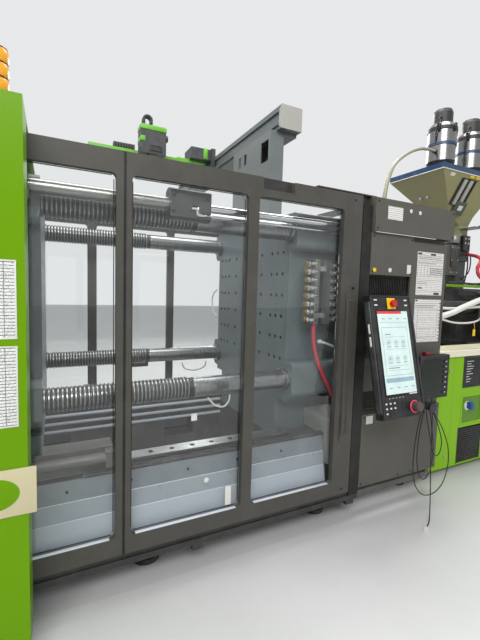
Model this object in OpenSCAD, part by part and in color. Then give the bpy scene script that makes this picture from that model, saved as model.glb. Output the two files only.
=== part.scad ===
// Two-platen injection moulding machine with sliding guard doors, an operator panel,
// a reciprocating injection unit with a material hopper, and a take-out robot.
// The machine is drawn with x = 0 at the mould face of the fixed platen, the clamp end
// towards -x, the operator's side towards -y and z = 0 on the floor.
// The module placed() then moves it, so that the origin lies under the middle of the whole.

/* [Mould space] */
// Height of the mould axis above the floor
axis_h = 1402; // [1380:2:1430]
// Distance between the tie bars across the machine
bar_gap_y = 1110; // [1090:2:1116]
// Distance between the tie bars up and down
bar_gap_z = 946; // [920:2:980]
// Distance between the platens when fully open
daylight = 1400; // [1340:10:1460]
// Travel of the moving platen
platen_travel = 840; // [600:20:840]
// Diameter of the smooth part of a tie bar
bar_d = 115; // [100:1:118]
// Diameter over the ridges of a tie bar
ridge_d = 125; // [121:1:126]
// Pitch of the locking ridges
ridge_pitch = 20; // [18:1:24]

/* [Platens] */
// Thickness of the fixed platen
fixed_t = 400; // [360:10:420]
// Thickness of the moving platen
moving_t = 450; // [400:10:500]
// Width of the platens between the corners
waist_w = 1120; // [1080:10:1124]
// Width of the platens over the corner ears
ear_w = 1280; // [1270:2:1284]
// Height of one corner ear
ear_h = 230; // [210:5:240]
// Diameter of the locating bore for the mould
locating_d = 125; // [100:1:160]
// Diameter of the mould clamping holes
clamp_hole_d = 24; // [16:1:30]

/* [Bed] */
// Height of the underside of the beds above the floor
bed_clear = 100; // [80:5:140]
// Height of the top of the clamp bed
bed_top = 565; // [540:5:580]
// Distance from the centre line to the middle of a guide rail
rail_y = 590; // [585:1:594]
// Width of a guide rail
rail_w = 90; // [70:2:96]
// Height of a guide rail
rail_h = 35; // [30:1:50]

/* [Guards] */
// Distance from the centre line to the outer face of the doors
door_y = 805; // [800:1:820]
// Thickness of a door frame
door_t = 40; // [30:1:42]
// Height of the lower edge of the doors
door_z0 = 200; // [190:1:215]
// Height of the upper edge of the doors
door_z1 = 2100; // [2090:5:2150]
// Width of one pane
pane_w = 598; // [560:2:600]
// Thickness of a pane
pane_t = 8; // [5:1:12]
// Distance from the centre line to the outer face of the clamp covers
cover_y = 1030; // [1000:5:1060]
// Height of the clamp covers' roof above the platens
cover_room = 160; // [150:5:260]
// Thickness of the folded cover panels
sheet_t = 20; // [12:1:24]

/* [Injection unit] */
// Outer diameter of the plasticising barrel
barrel_d = 180; // [150:2:190]
// Diameter of the screw
screw_d = 85; // [60:1:90]
// Distance from the fixed platen's mould face to the feed throat
throat_x = 2465; // [2440:5:2500]
// Height of the top of the injection bed
inj_top = 960; // [940:5:970]
// Distance from the centre line to the green side panels' outer face
side_y = 630; // [600:2:660]
// Half of the hopper's width across the machine
hopper_w = 300; // [240:5:320]
// Length of the hopper along the machine
hopper_l = 880; // [800:10:900]
// Height of the hopper's rim
hopper_z = 2700; // [2600:10:2800]

/* [Robot] */
// Height of the underside of the robot's long beam
beam_z = 2731; // [2600:1:2800]
// Height of the beam's section
beam_h = 174; // [150:2:200]
// Width of the beam's section
beam_w = 185; // [150:5:200]
// Place of the robot's carriage along the beam at rest
carriage_y = 1300; // [1200:10:1350]

/* [Hidden] */
$fn = 48;

// The whole machine's middle, which becomes the origin
mid_x = 850;
mid_y = 700;

steel = [0.72, 0.72, 0.72];
dark = [0.33, 0.31, 0.29];
black = [0.06, 0.06, 0.06];
green = [0.55, 0.76, 0.05];
cast = [0.45, 0.46, 0.43];
pale = [0.72, 0.75, 0.79];

// Running gap between a sliding piece and its rail or bore
run = 0.3;

bar_y = bar_gap_y / 2;
bar_z = bar_gap_z / 2;
bar_r = bar_d / 2;
ridge_r = ridge_d / 2;
root_r = ridge_r - 7;
bar_end = -2160;
neck_x = -650;
ridge_count = floor((neck_x - bar_end - 20) / ridge_pitch);
collar_r = bar_r + 15;
collar_t = 28;
bolt_wall = 2;

rail_top = bed_top + rail_h;
rail_x0 = -3100;
rail_x1 = 0;
beam_in = rail_y - 75;
beam_out = rail_y + 90;
base_x0 = -3280;
base_x1 = 440;
drop_x0 = -2300;
seat_x0 = 10;
seat_z = 500;
inj_x0 = 660;

mp_x1 = -daylight;
mp_x0 = mp_x1 - moving_t;
shoe_z = rail_top + 90;
foot_y = 455;
platen_top = axis_h + bar_z + ear_h / 2;
cover_h = platen_top + cover_room;
ear_r = 40;
waist_top = axis_h + bar_z + 55;
waist_bottom = axis_h - bar_z - 150;

// The travel cylinders beside the platens, one above at the front, one below at the back
travel_y = ear_w / 2 + 60;
travel_z = bar_z + 43;
travel_rod_r = 21;
sensor_drop = 42;
travel_barrel_r = 32;
head_x0 = neck_x - 180;
head_x1 = head_x0 + 215;
travel_end = head_x1 + platen_travel + 62;

// The door's rails and stiles
glass_z0 = door_z0 + 88;
glass_z1 = door_z1 - 100;
mullion_x = -1056;
mullion_2 = -424;
pane_gap = 63;
lap = 12;
door_left = mullion_x - 38 - pane_w - 70;
door_right = 367;
glass_x = [mullion_x - 38 - pane_w, mullion_x + 32, mullion_2 + pane_gap];
glass_w = [pane_w, mullion_2 - mullion_x - 32, 585];
glass_in = 14;

track_z = door_z0 - 50;
post_x0 = 372;
post_x1 = 450;
purge_x1 = 1220;

cabinet_x = [1240, 1640, 2420, 3700, 5000];
hinge_x = cabinet_x[3];
hinge_y = -side_y - 9;
hinge_z = [190, 800];
cabinet_top = 1000;

carriage_x0 = throat_x - 270;
carriage_x1 = throat_x + 980;
rail2_y = 300;
rail2_h = 40;
deck_z = inj_top + rail2_h + 12;
feed_top = axis_h + 180;
barrel_r = barrel_d / 2;
screw_r = screw_d / 2;
barrel_x0 = 260;
drive_x = throat_x + 1030;

gate_z = hopper_z - 510;
outlet = 75;
rim_x1 = throat_x + 200;
rim_x0 = rim_x1 - hopper_l;

robot_x = 200;
kick_z = beam_z + 95;

// Moves the machine so that the origin lies under its middle
module placed() {
  translate([-mid_x, -mid_y, 0]) children();
}

// A block between two corners
module block(x0, x1, y0, y1, z0, z1) {
  translate([x0, y0, z0]) cube([x1 - x0, y1 - y0, z1 - z0]);
}

// A round bar along x
module bar_x(x0, x1, y, z, r) {
  translate([x0, y, z]) rotate([0, 90, 0]) cylinder(h = x1 - x0, r = r);
}

// A round bar along y
module bar_along_y(x, y0, y1, z, r) {
  translate([x, y0, z]) rotate([-90, 0, 0]) cylinder(h = y1 - y0, r = r);
}

// A ring along x
module ring_x(x0, x1, y, z, r, bore) {
  difference() {
    bar_x(x0, x1, y, z, r);
    bar_x(x0 - 1, x1 + 1, y, z, bore);
  }
}

// A rectangle with round corners, from its lower left corner
module round_rect(w, h, r) {
  translate([r, 0]) square([w - 2 * r, h]);
  translate([0, r]) square([w, h - 2 * r]);
  for (x = [r, w - r])
    for (y = [r, h - r])
      translate([x, y]) circle(r = r);
}

// Stands a drawing of y against z up and gives it a thickness along x
module along_x(x0, x1) {
  translate([x0, 0, 0]) rotate([90, 0, 90]) linear_extrude(x1 - x0) children();
}

// Stands a drawing of x against z up, with its front face at y
module facing(y, t) {
  translate([0, y + t, 0]) rotate([90, 0, 0]) linear_extrude(t) children();
}

// The same thing on both sides of the centre line
module both_sides() {
  children();
  mirror([0, 1, 0]) children();
}

// A ring of points round a hose's route at point i
function unit(v) = v / norm(v);
function heading(p, i) =
  unit((i == len(p) - 1 ? p[i] : p[i + 1]) - (i == 0 ? p[i] : p[i - 1]));
function side_of(d) = unit(cross(d, abs(d[2]) > 0.9 ? [1, 0, 0] : [0, 0, 1]));
function carried(p, i) =
  i == 0 ? side_of(heading(p, 0))
  : let (last = carried(p, i - 1), d = heading(p, i)) unit(last - d * (last * d));
function hose_ring(p, i, r, n) =
  let (d = heading(p, i), a = carried(p, i), b = cross(d, a))
  [for (k = [0 : n - 1]) p[i] + r * (a * cos(360 * k / n) + b * sin(360 * k / n))];

// A plain tube swept along a list of points
module hose(p, r, n = 8) {
  last = len(p) - 1;
  rings = [for (i = [0 : last]) each hose_ring(p, i, r, n)];
  walls = [for (i = [0 : last - 1]) for (k = [0 : n - 1])
    [i * n + k, (i + 1) * n + k, (i + 1) * n + (k + 1) % n, i * n + (k + 1) % n]];
  near = [for (k = [0 : n - 1]) k];
  far = [for (k = [n - 1 : -1 : 0]) last * n + k];
  polyhedron(points = rings, faces = concat([near], walls, [far]));
}

// Points along a smooth curve through a short list, with steps between each pair
function spline_point(p, i, t) =
  let (a = p[max(i - 1, 0)], b = p[i], c = p[i + 1], d = p[min(i + 2, len(p) - 1)])
  0.5 * (2 * b + (c - a) * t + (2 * a - 5 * b + 4 * c - d) * t * t
    + (3 * b - a - 3 * c + d) * t * t * t);
function smooth(p, steps) =
  concat([for (i = [0 : len(p) - 2]) for (k = [0 : steps - 1])
    spline_point(p, i, k / steps)], [p[len(p) - 1]]);

// The welded bed of the clamp, with the part chute between its two long beams
module clamp_base() {
  color(dark) placed() {
    difference() {
      union() {
        both_sides() block(base_x0, base_x1, beam_in, beam_out, bed_clear, bed_top);
        block(base_x0, base_x0 + 180, -beam_in, beam_in, bed_clear, seat_z);
        block(drop_x0, drop_x0 + 80, -beam_in, beam_in, bed_clear, bed_clear + 220);
        block(seat_x0, base_x1, -beam_in, beam_in, bed_clear, seat_z);
      }
      both_sides()
        for (x = [-2700, -1500, -500])
          block(x, x + 260, beam_in - 1, beam_out + 1, bed_clear + 120, bed_clear + 260);
    }
  }
}

// The welded bed of the injection unit, with its two linear rails
module injection_base() {
  color(dark) placed() {
    difference() {
      union() {
        block(inj_x0, 4980, -560, 560, bed_clear, inj_top);
        block(base_x1, inj_x0, -560, 560, bed_clear, seat_z);
      }
      block(inj_x0 + 30, 4950, -530, 530, bed_clear - 1, inj_top - 40);
    }
    both_sides()
      block(inj_x0 + 20, 4900, rail2_y - 24, rail2_y + 24, inj_top, inj_top + rail2_h);
  }
}

// The round levelling pads under both beds
module levelling_pads() {
  color(black) placed() {
    both_sides() {
      for (x = [-3150, -1900, -900, 250]) levelling_pad(x, rail_y);
      for (x = [1100, 2350, 3600, 4800]) levelling_pad(x, 545);
    }
  }
}
module levelling_pad(x, y) {
  translate([x, y, 0]) {
    cylinder(h = 28, r = 75);
    translate([0, 0, 28]) cylinder(h = 18, r = 38);
    translate([0, 0, 46]) cylinder(h = bed_clear - 46, r = 15);
  }
}

// The two steel guide rails of the moving platen, bolted down through their tops
module guide_rails() {
  color(steel) placed() both_sides() {
    difference() {
      block(rail_x0, rail_x1, rail_y - rail_w / 2, rail_y + rail_w / 2, bed_top, rail_top);
      for (x = [rail_x0 + 60 : 120 : rail_x1 - 40])
        translate([x, rail_y, 0]) {
          translate([0, 0, bed_top - 1]) cylinder(h = rail_h + 2, r = 9, $fn = 24);
          translate([0, 0, rail_top - 18]) cylinder(h = 19, r = 15, $fn = 24);
        }
    }
  }
}

// A platen's outline: the plate, its four round-cornered ears and its foot
module platen_outline(foot_z, foot_half) {
  difference() {
    union() {
      translate([-waist_w / 2, waist_bottom]) square([waist_w, waist_top - waist_bottom]);
      translate([-foot_half, foot_z]) square([2 * foot_half, waist_bottom - foot_z + 1]);
      for (s = [-1, 1])
        translate([-ear_w / 2, axis_h + s * bar_z - ear_h / 2]) round_rect(ear_w, ear_h, ear_r);
    }
  }
}

// The grid of tapped holes for the mould's clamping screws, cut to a depth
module clamp_holes(x0, x1) {
  for (s = [-1, 1])
    for (y = [210, 350, 420, 490])
      for (z = [-350, -210, -70, 70, 210, 350])
        bar_x(x0, x1, s * y, axis_h + z, clamp_hole_d / 2, $fn = 20);
}

// The fixed platen, with its locating bore, nozzle cone and tie bar holes
module fixed_platen() {
  color(cast) placed() difference() {
    along_x(0, fixed_t) platen_outline(seat_z, foot_y);
    for (y = [-bar_y, bar_y])
      for (z = [-bar_z, bar_z])
        bar_x(-1, fixed_t + 1, y, axis_h + z, bar_r + 1);
    clamp_holes(-1, 60);
    bar_x(-1, 25, 0, axis_h, locating_d / 2);
    bar_x(24, fixed_t + 1, 0, axis_h, 50);
    translate([120, 0, axis_h]) rotate([0, 90, 0])
      cylinder(h = fixed_t - 119, r1 = 50, r2 = 260);
    for (s = [-1, 1])
      for (z = [-440, 300])
        block(180, fixed_t + 1, s * 380 - 90, s * 380 + 90, axis_h + z, axis_h + z + 140);
  }
}

// One tie bar: locking ridges, smooth run, collar and the end that takes the nut
module tie_bar() {
  ridge = [for (i = [0 : ridge_count - 1]) each [
    [bar_end + 20 + i * ridge_pitch, root_r],
    [bar_end + 20 + i * ridge_pitch + ridge_pitch * 0.2, ridge_r],
    [bar_end + 20 + i * ridge_pitch + ridge_pitch * 0.5, ridge_r],
    [bar_end + 20 + i * ridge_pitch + ridge_pitch * 0.7, root_r]]];
  run_out = [[neck_x, root_r], [neck_x + 20, bar_r], [-collar_t, bar_r],
    [-collar_t, collar_r], [0, collar_r], [0, bar_r], [fixed_t + 200, bar_r],
    [fixed_t + 200, 0], [bar_end, 0], [bar_end, root_r]];
  rotate([0, 90, 0]) rotate_extrude()
    polygon([for (q = concat(ridge, run_out)) [q[1], q[0]]]);
}
module tie_bars() {
  color(steel) placed()
    for (y = [-bar_y, bar_y])
      for (z = [-bar_z, bar_z])
        translate([0, y, axis_h + z]) tie_bar();
}

// The short-stroke clamping cylinders behind the fixed platen, with the tie bar nuts
module clamp_cylinders() {
  color(dark) placed()
    for (y = [-bar_y, bar_y])
      for (z = [-bar_z, bar_z]) {
        ring_x(fixed_t, fixed_t + 120, y, axis_h + z, 118, bar_r + 2);
        ring_x(fixed_t + 120, fixed_t + 180, y, axis_h + z, 88, bar_r + 0.2);
      }
}

// A travel cylinder's rod with its end block, and the thin measuring rod below it
module travel_rod() {
  bar_x(head_x0 - 60, travel_end, -travel_y, axis_h + travel_z, travel_rod_r);
  bar_x(head_x0 - 100, head_x0 - 60, -travel_y, axis_h + travel_z, travel_barrel_r - 5.3);
  bar_x(head_x1 - 100, travel_end, -travel_y, axis_h + travel_z - sensor_drop, 6.5);
  block(travel_end, travel_end + 100, -travel_y - 40, -ear_w / 2, axis_h + travel_z - 62,
    axis_h + travel_z + 40);
}
module travel_rods() {
  color(steel) placed() {
    travel_rod();
    translate([0, 0, 2 * axis_h]) rotate([180, 0, 0]) travel_rod();
  }
}

// The water manifold on the side of the fixed platen: two bars, sixteen valves
manifold_x = [142, 232];
manifold_y = 655;
manifold_z0 = axis_h - 78;
valve_pitch = 50;
module cooling_manifold() {
  color(steel) placed() {
    for (i = [0, 1]) {
      block(manifold_x[i] - 18, manifold_x[i] + 18, -manifold_y - 18, -manifold_y + 18,
        manifold_z0 - 30, manifold_z0 + 8 * valve_pitch - 20);
      for (k = [0 : 7])
        manifold_valve(manifold_x[i], i == 0 ? -1 : 1, manifold_z0 + k * valve_pitch);
    }
    for (z = [manifold_z0 + 25, manifold_z0 + 6 * valve_pitch + 25])
      block(120, 255, -manifold_y + 18, -waist_w / 2, z - 15, z + 15);
  }
}
module manifold_valve(x, s, z) {
  bar_x(s < 0 ? x - 80 : x + 18, s < 0 ? x - 18 : x + 80, -manifold_y, z, 11, $fn = 20);
  bar_along_y(x + s * 48, -manifold_y - 45, -manifold_y, z, 8, $fn = 20);
  block(x + s * 48 - 20, x + s * 48 + 20, -manifold_y - 52, -manifold_y - 44, z - 6, z + 6);
}

// The red water hose, the hoses along the bed and the three pale pipes behind them
red_route = [[142, -655, manifold_z0 - 30.6], [142.5, -655.5, 1200], [170, -659, 1080],
  [228, -660, 960], [290, -660, 860], [338, -658, 770], [350, -655, 690.3]];
bed_route = [[-1230, -687, 576], [-1000, -687, 577], [-700, -684, 576.5], [-350, -688, 577],
  [-100, -684, 576.5], [80, -686, 577], [229.7, -686, 577]];
module hoses() {
  color([0.7, 0.15, 0.15]) placed() hose(smooth(red_route, 3), 13, 10);
  color(dark) placed()
    for (k = [0, 1]) translate([0, k * 24, 1.4 * k - 1.4]) hose(smooth(bed_route, 3), 10.5, 8);
  color(pale) placed()
    for (k = [0 : 2]) {
      bar_x(-2000, seat_x0, beam_in - 12.3, bed_top - 60 - k * 60, 12, $fn = 24);
      for (x = [-1900, -1000, -100])
        block(x, x + 30, beam_in - 30, beam_in, bed_top - 60 - k * 60 - 6,
          bed_top - 60 - k * 60 + 6);
    }
}

// The folded light sheets between the bed and the lower edge of each door
apron_z = [bed_top - 5, 465, 376, door_z0 + 5];
apron_y = [beam_out + 2, beam_out + 24, beam_out + 34, door_y - 56];
apron_t = 4;
module bed_aprons() {
  color(pale) placed() both_sides()
    along_x(-3080, 222)
      polygon(concat(
        [[beam_out, apron_z[0]]],
        [for (i = [0 : 3]) [apron_y[i], apron_z[i]]],
        [[door_y - 46, apron_z[3]], [door_y - 46, apron_z[3] + apron_t]],
        [for (i = [3 : -1 : 0]) [apron_y[i] + apron_t, apron_z[i] + apron_t]],
        [[beam_out, apron_z[0] + apron_t]]));
}

// The cover box with its lid in the corner in front of the fixed platen's foot
box_y0 = -door_y + 60 + run;
box_x1 = post_x1 + 5 - run;
box_z = 625;
module corner_box() {
  color(pale) placed() difference() {
    union() {
      block(236, box_x1 - 4, box_y0 + 4, -foot_y - 15, bed_top, box_z);
      block(236, box_x1 - 4, box_y0 + 4, -beam_out - 0.3, 385, bed_top + 5);
      block(230, box_x1, box_y0, -foot_y - 15, box_z, box_z + 60);
    }
    block(242, box_x1 - 10, -beam_out + 6, -foot_y - 21, bed_top - 1, box_z + 54);
    block(242, box_x1 - 10, box_y0 + 10, -beam_out - 6, 384, bed_top - 6);
  }
}

// The green cover at the clamp end on the operator's side, which the doors slide into
cover_x0 = -3300;
cover_x1 = -1440;
module side_shell() {
  difference() {
    block(cover_x0, cover_x1, -cover_y, -door_y - 15, 60, cover_h);
    block(cover_x0 - 1, cover_x1 - sheet_t, -cover_y + sheet_t, -door_y, 59, cover_h - sheet_t);
  }
}
module clamp_cover_front() {
  color(green) placed() side_shell();
}
module clamp_cover_rear() {
  color(green) placed() mirror([0, 1, 0]) side_shell();
}

// The green end cover with the roof over the clamp
module clamp_cover_end() {
  color(green) placed() {
    difference() {
      union() {
        block(cover_x0 - sheet_t, cover_x0, -cover_y, cover_y, 60, cover_h);
        block(cover_x0, cover_x1, -door_y - 15, door_y + 15, cover_h - sheet_t, cover_h);
        block(cover_x0, base_x0, -beam_out, beam_out, bed_clear, bed_top);
      }
      for (z = [500 : 60 : 860])
        block(cover_x0 - sheet_t - 1, cover_x0 + 1, -500, 500, z, z + 22);
    }
  }
}

// The tracks above and below the doors on both sides, with their brackets on the bed
module door_tracks() {
  color(dark) placed() both_sides() {
    block(cover_x0, post_x1, door_y - 85, door_y - door_t - run, door_z1 - 50, door_z1 + 10);
    block(cover_x0, post_x1, door_y - 36, door_y - 4, track_z - 10, track_z + 22);
    block(cover_x0, post_x0, door_y - 26, door_y - 14, track_z + 22, door_z0 - run);
    for (x = [base_x0 + 20, -1750, -700, 360])
      block(x, x + 60, beam_out, door_y - 4, track_z - 40, track_z - 10);
  }
}

// The dark posts at the closing edge of the doors
module door_posts() {
  color([0.22, 0.21, 0.2]) placed() both_sides()
    difference() {
      block(post_x0, post_x1, door_y - 60, door_y, track_z + 22, door_z1 - 50);
      block(post_x0 - 1, post_x0 + 26, door_y - 40, door_y - 20, track_z + 40, door_z1 - 70);
    }
}

// The tube frame that carries the covers beside the nozzle
tube = 40;
lid = 12;
module guard_frame() {
  color(dark) placed() {
    both_sides() {
      for (x = [post_x1 + 5, purge_x1 - tube - 2])
        block(x, x + tube, door_y - 85, door_y - 85 + tube, 120, door_z1 - lid - run);
      for (x = [post_x1 + 5, purge_x1 - tube - 2])
        block(x, x + tube, 560, door_y - 85, 120, 160);
    }
    for (x = [post_x1 + 5, purge_x1 - tube - 2])
      block(x, x + tube, -door_y + 85, door_y - 85, door_z1 - lid - 36, door_z1 - lid - run);
    block(post_x1 + 5, purge_x1 - 5, -door_y + 45, -door_y + 85, 120, 160);
    block(post_x1 + 5, purge_x1 - 5, door_y - 85, door_y - 45, 120, 160);
  }
}

// The protruding hood over the covers on the operator's side
hood_z0 = 1892;
module hood_cover() {
  color(dark) placed() difference() {
    block(post_x1 + 3, purge_x1, -door_y - 25, -door_y + 80, hood_z0, door_z1);
    block(post_x1 + 15, purge_x1 - lid, -door_y - 13, -door_y + 81, hood_z0 - 1, door_z1 - lid);
    block(post_x1 + 2, purge_x1 + 1, -door_y + 45 - run, -door_y + 81, hood_z0 - 1, door_z1 - lid);
  }
  color(dark) placed() {
    block(post_x1 + 3, purge_x1, -door_y + 80, -door_y + 230, door_z1 - lid, door_z1);
    block(post_x1 + 3, post_x1 + 40, -door_y + 15, -door_y + 230, door_z1, door_z1 + 10 + run);
    block(30, post_x1 + 40, -door_y + 15, -door_y + 230, door_z1 + 10 + run, door_z1 + 16);
    block(post_x1 + 14, purge_x1 - lid + 1, -door_y + 37, -door_y + 41, hood_z0 - 52, hood_z0 + 8);
  }
}

// The two folded covers left of the sliding guard, above and below the panel
mid_x1 = 840;
side_z0 = 1622;
low_z1 = 720;
module tray(x0, x1, z0, z1, y0, depth, wall) {
  difference() {
    block(x0, x1, y0, y0 + depth, z0, z1);
    block(x0 + wall, x1 - wall, y0 + wall, y0 + depth + 1, z0 + wall, z1 - wall);
  }
}
wall = 8;
module purge_covers() {
  color(dark) placed() {
    for (c = [[side_z0, hood_z0 - run], [door_z0 + 10, low_z1 - 16]]) {
      block(post_x1 + 3, post_x1 + 3 + wall, -door_y, -door_y + 45, c[0], c[1]);
      block(post_x1 + 3, mid_x1, -door_y, -door_y + wall, c[0], c[1]);
    }
    block(mid_x1, purge_x1, -door_y, -door_y + wall, door_z0 + 10, low_z1 - 16);
    block(purge_x1 - wall, purge_x1, -door_y, -door_y + 45, door_z0 + 10, low_z1 - 16);
    block(post_x1 + 3, purge_x1, -door_y, -door_y + 45, low_z1 - 24, low_z1 - 16);
    block(post_x1 + 3, purge_x1 - 6, -door_y + 18, -door_y + 27, low_z1 - 16, low_z1 - 6);
    block(post_x1 + 3, mid_x1 + 40, -door_y + 40, -door_y + 45, low_z1 - 16, 1486 - run);
  }
}

// The black grille between the upper cover and the operator panel
module vent_grille() {
  color(black) placed() {
    block(post_x1 + 3, mid_x1 + 40, -door_y + 38, -door_y + 45, 1486, side_z0 - 4);
    block(post_x1 + 3 + wall + run, mid_x1 + 40, -door_y + 38, -door_y + 45, 1486, side_z0 + 20);
    for (x = [post_x1 + 12 : 16 : mid_x1 - 12])
      block(x, x + 5, -door_y + 31, -door_y + 38, 1490, side_z0 - 8);
  }
}

// The plain cover on the other side of the nozzle
module rear_purge_cover() {
  color(dark) placed() mirror([0, 1, 0])
    tray(post_x1 + 3, purge_x1, door_z0 + 10, door_z1, -door_y, 45, 8);
}

// The green side panels of the injection bed, with the recesses on the operator's side
module cabinet_panels() {
  color(green) placed() {
    for (i = [0, 1, 3])
      difference() {
        tray(cabinet_x[i] + 1, cabinet_x[i + 1] - 1, 47, cabinet_top, -side_y, side_y - 560, 6);
        if (i == 1) {
          block(1770, 2014, -side_y - 1, -side_y + 7, 726, 989);
          block(1770, 2054, -side_y - 1, -side_y + 7, 404, 651);
          block(1748, 2070, -side_y - 1, -side_y + 7, 60, 374);
        }
      }
    for (z = hinge_z)
      difference() {
        union() {
          translate([hinge_x, hinge_y, z]) cylinder(h = 40, r = 8);
          block(hinge_x, hinge_x + 34, hinge_y, -side_y, z, z + 40);
        }
        translate([hinge_x, hinge_y, z - 1]) cylinder(h = 42, r = 4.05);
      }
    mirror([0, 1, 0])
      for (i = [0 : 3])
        tray(cabinet_x[i] + 1, cabinet_x[i + 1] - 1, 47, cabinet_top, -side_y, side_y - 560, 6);
    tray_x_end();
  }
}
module tray_x_end() {
  block(4980, 5000, -559, 559, 47, cabinet_top);
}

// The cream worktop along the operator's side of the injection unit
module worktop() {
  color([0.82, 0.8, 0.72]) placed() difference() {
    block(1240, 2600, -side_y - 20, -385, cabinet_top + 0.3, cabinet_top + 50);
    block(1260, 2580, -side_y, -405, cabinet_top + 12, cabinet_top + 51);
  }
}

// The robot's console on the fixed platen: a welded box with cable cut-outs
console_y0 = -20;
console_y1 = 640;
module robot_console() {
  color(pale) placed() {
    difference() {
      block(150, 270, console_y0, console_y1, platen_top + 20, beam_z - 20);
      block(158, 262, console_y0 + 8, console_y1 + 1, platen_top + 28, beam_z - 28);
      for (w = [[10, 130, 160], [380, 430, 90], [480, 530, 90]])
        block(149, 159, w[0], w[1], beam_z - 60 - w[2], beam_z - 60);
    }
    block(60, 360, console_y0, console_y1, platen_top, platen_top + 20);
    block(150, robot_x + beam_w, console_y0, console_y1, beam_z - 20, beam_z);
  }
}

// The robot's long beam across the machine, with the carriage rails under it
beam_y0 = -90;
beam_y1 = 2515;
module robot_beam() {
  color(pale) placed() {
    difference() {
      block(robot_x, robot_x + beam_w, beam_y0, beam_y1, beam_z, beam_z + beam_h);
      block(robot_x + 8, robot_x + beam_w - 8, beam_y0 + 6, beam_y1 - 6, beam_z + 8,
        beam_z + beam_h - 8);
    }
    for (z = [beam_z + 30, beam_z + beam_h - 50])
      block(robot_x - 14, robot_x, beam_y0 + 40, beam_y1 - 40, z, z + 20);
  }
}

// The small display on the end of its arm, right of the operator panel
aux_y = 880;
hook_z = 730;
module aux_display() {
  color(black) placed() {
    difference() {
      block(885, 1192, -aux_y, -aux_y + 45, 775, 1082);
      block(900, 1120, -aux_y - 1, -aux_y + 4, 800, 1062);
    }
    bar_along_y(975, -930, -aux_y + 30, hook_z, 25);
    bar_along_y(975, -935, -930, hook_z, 34);
    block(955, 995, -aux_y + 22, -aux_y + 30, hook_z - 25, 775);
    block(1080, purge_x1 + 6, -aux_y + 45, -door_y - 2, 880, 960);
    block(purge_x1 - 2, purge_x1 + 6, -door_y - 2, -door_y + 85, 880, 960);
  }
}

// The arm that carries the operator panel on the recessed cover
panel_x = 510;
panel_z = 1118;
arm_y = door_y + 95;
module panel_arm() {
  color(dark) placed() {
    block(panel_x - 50, panel_x + 70, -door_y + 28, -door_y + 40, panel_z - 90, panel_z + 90);
    block(panel_x - 25, panel_x + 25, -arm_y + 30, -door_y + 28, panel_z - 40, panel_z + 40);
    difference() {
      union() {
        translate([panel_x, -arm_y, panel_z - 60]) cylinder(h = 120, r = 32);
        block(panel_x - 25, panel_x + 25, -arm_y, -arm_y + 30, panel_z - 40, panel_z + 40);
      }
      translate([panel_x, -arm_y, panel_z - 61]) cylinder(h = 122, r = 15);
    }
  }
}

// The two rods behind the fixed platen that pull the injection unit forward
pull_y = 330;
pull_r = 25;
module carriage_rods() {
  color(steel) placed() both_sides() {
    bar_x(fixed_t, throat_x - 300, pull_y, axis_h, pull_r);
    ring_x(fixed_t, fixed_t + 40, pull_y, axis_h, pull_r + 22, pull_r);
  }
}

// The moving platen, with its ejector bore and the running holes for the tie bars
module moving_platen() {
  color(cast) placed() difference() {
    along_x(mp_x0, mp_x1) platen_outline(shoe_z, rail_y + 40);
    for (y = [-bar_y, bar_y])
      for (z = [-bar_z, bar_z])
        bar_x(mp_x0 - 1, mp_x1 + 1, y, axis_h + z, ridge_r + 1.5);
    clamp_holes(mp_x1 - 60, mp_x1 + 1);
    bar_x(mp_x0 - 1, mp_x1 + 1, 0, axis_h, 40);
    for (s = [-1, 1])
      for (z = [-440, 300])
        block(mp_x0 - 1, mp_x1 - 200, s * 380 - 90, s * 380 + 90, axis_h + z, axis_h + z + 140);
  }
}

// The long shoes under the moving platen, with the adjusting cylinders at their sides
shoe_x1 = mp_x1 + 315;
shoe_in = rail_y - 58;
shoe_out = rail_y + 58;
module platen_shoes() {
  color(dark) placed() both_sides() {
    difference() {
      block(mp_x0 - 60, shoe_x1, shoe_in, shoe_out, bed_top + 9, shoe_z);
      block(mp_x0 - 61, shoe_x1 + 1, rail_y - rail_w / 2 - run, rail_y + rail_w / 2 + run,
        bed_top + 8, rail_top + run);
    }
    bar_x(mp_x0 + 100, shoe_x1 - 40, shoe_out + 26, shoe_z - 44, 28);
    block(mp_x0 + 120, mp_x0 + 160, shoe_out, shoe_out + 60, shoe_z - 78, shoe_z - 6);
    block(shoe_x1 - 41, shoe_x1, shoe_out, shoe_out + 60, shoe_z - 84, shoe_z - 6);
  }
}

// The drums behind the moving platen that hold the locking nuts
lock_x0 = mp_x0 - 200;
lock_x = lock_x0 + 100;
lock_rod_r = 14;
module lock_housings() {
  color(dark) placed()
    for (y = [-bar_y, bar_y])
      for (z = [-bar_z, bar_z])
        difference() {
          union() {
            bar_x(lock_x0, mp_x0, y, axis_h + z, 140);
            for (s = [-1, 1])
              translate([lock_x, y, axis_h + z + s * 165]) cylinder(h = 66, r = 34, center = true);
          }
          for (s = [-1, 1])
            translate([lock_x, y, axis_h + z + s * 162]) cylinder(h = 60, r = 22, center = true);
          bar_x(lock_x0 - 1, mp_x0 + 1, y, axis_h + z, ridge_r + 1.5);
          bar_x(lock_x0 + 20, mp_x0 - 20, y, axis_h + z, 118);
          translate([lock_x, y, axis_h + z - 141]) cylinder(h = 282, r = lock_rod_r + run);
        }
}

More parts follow.
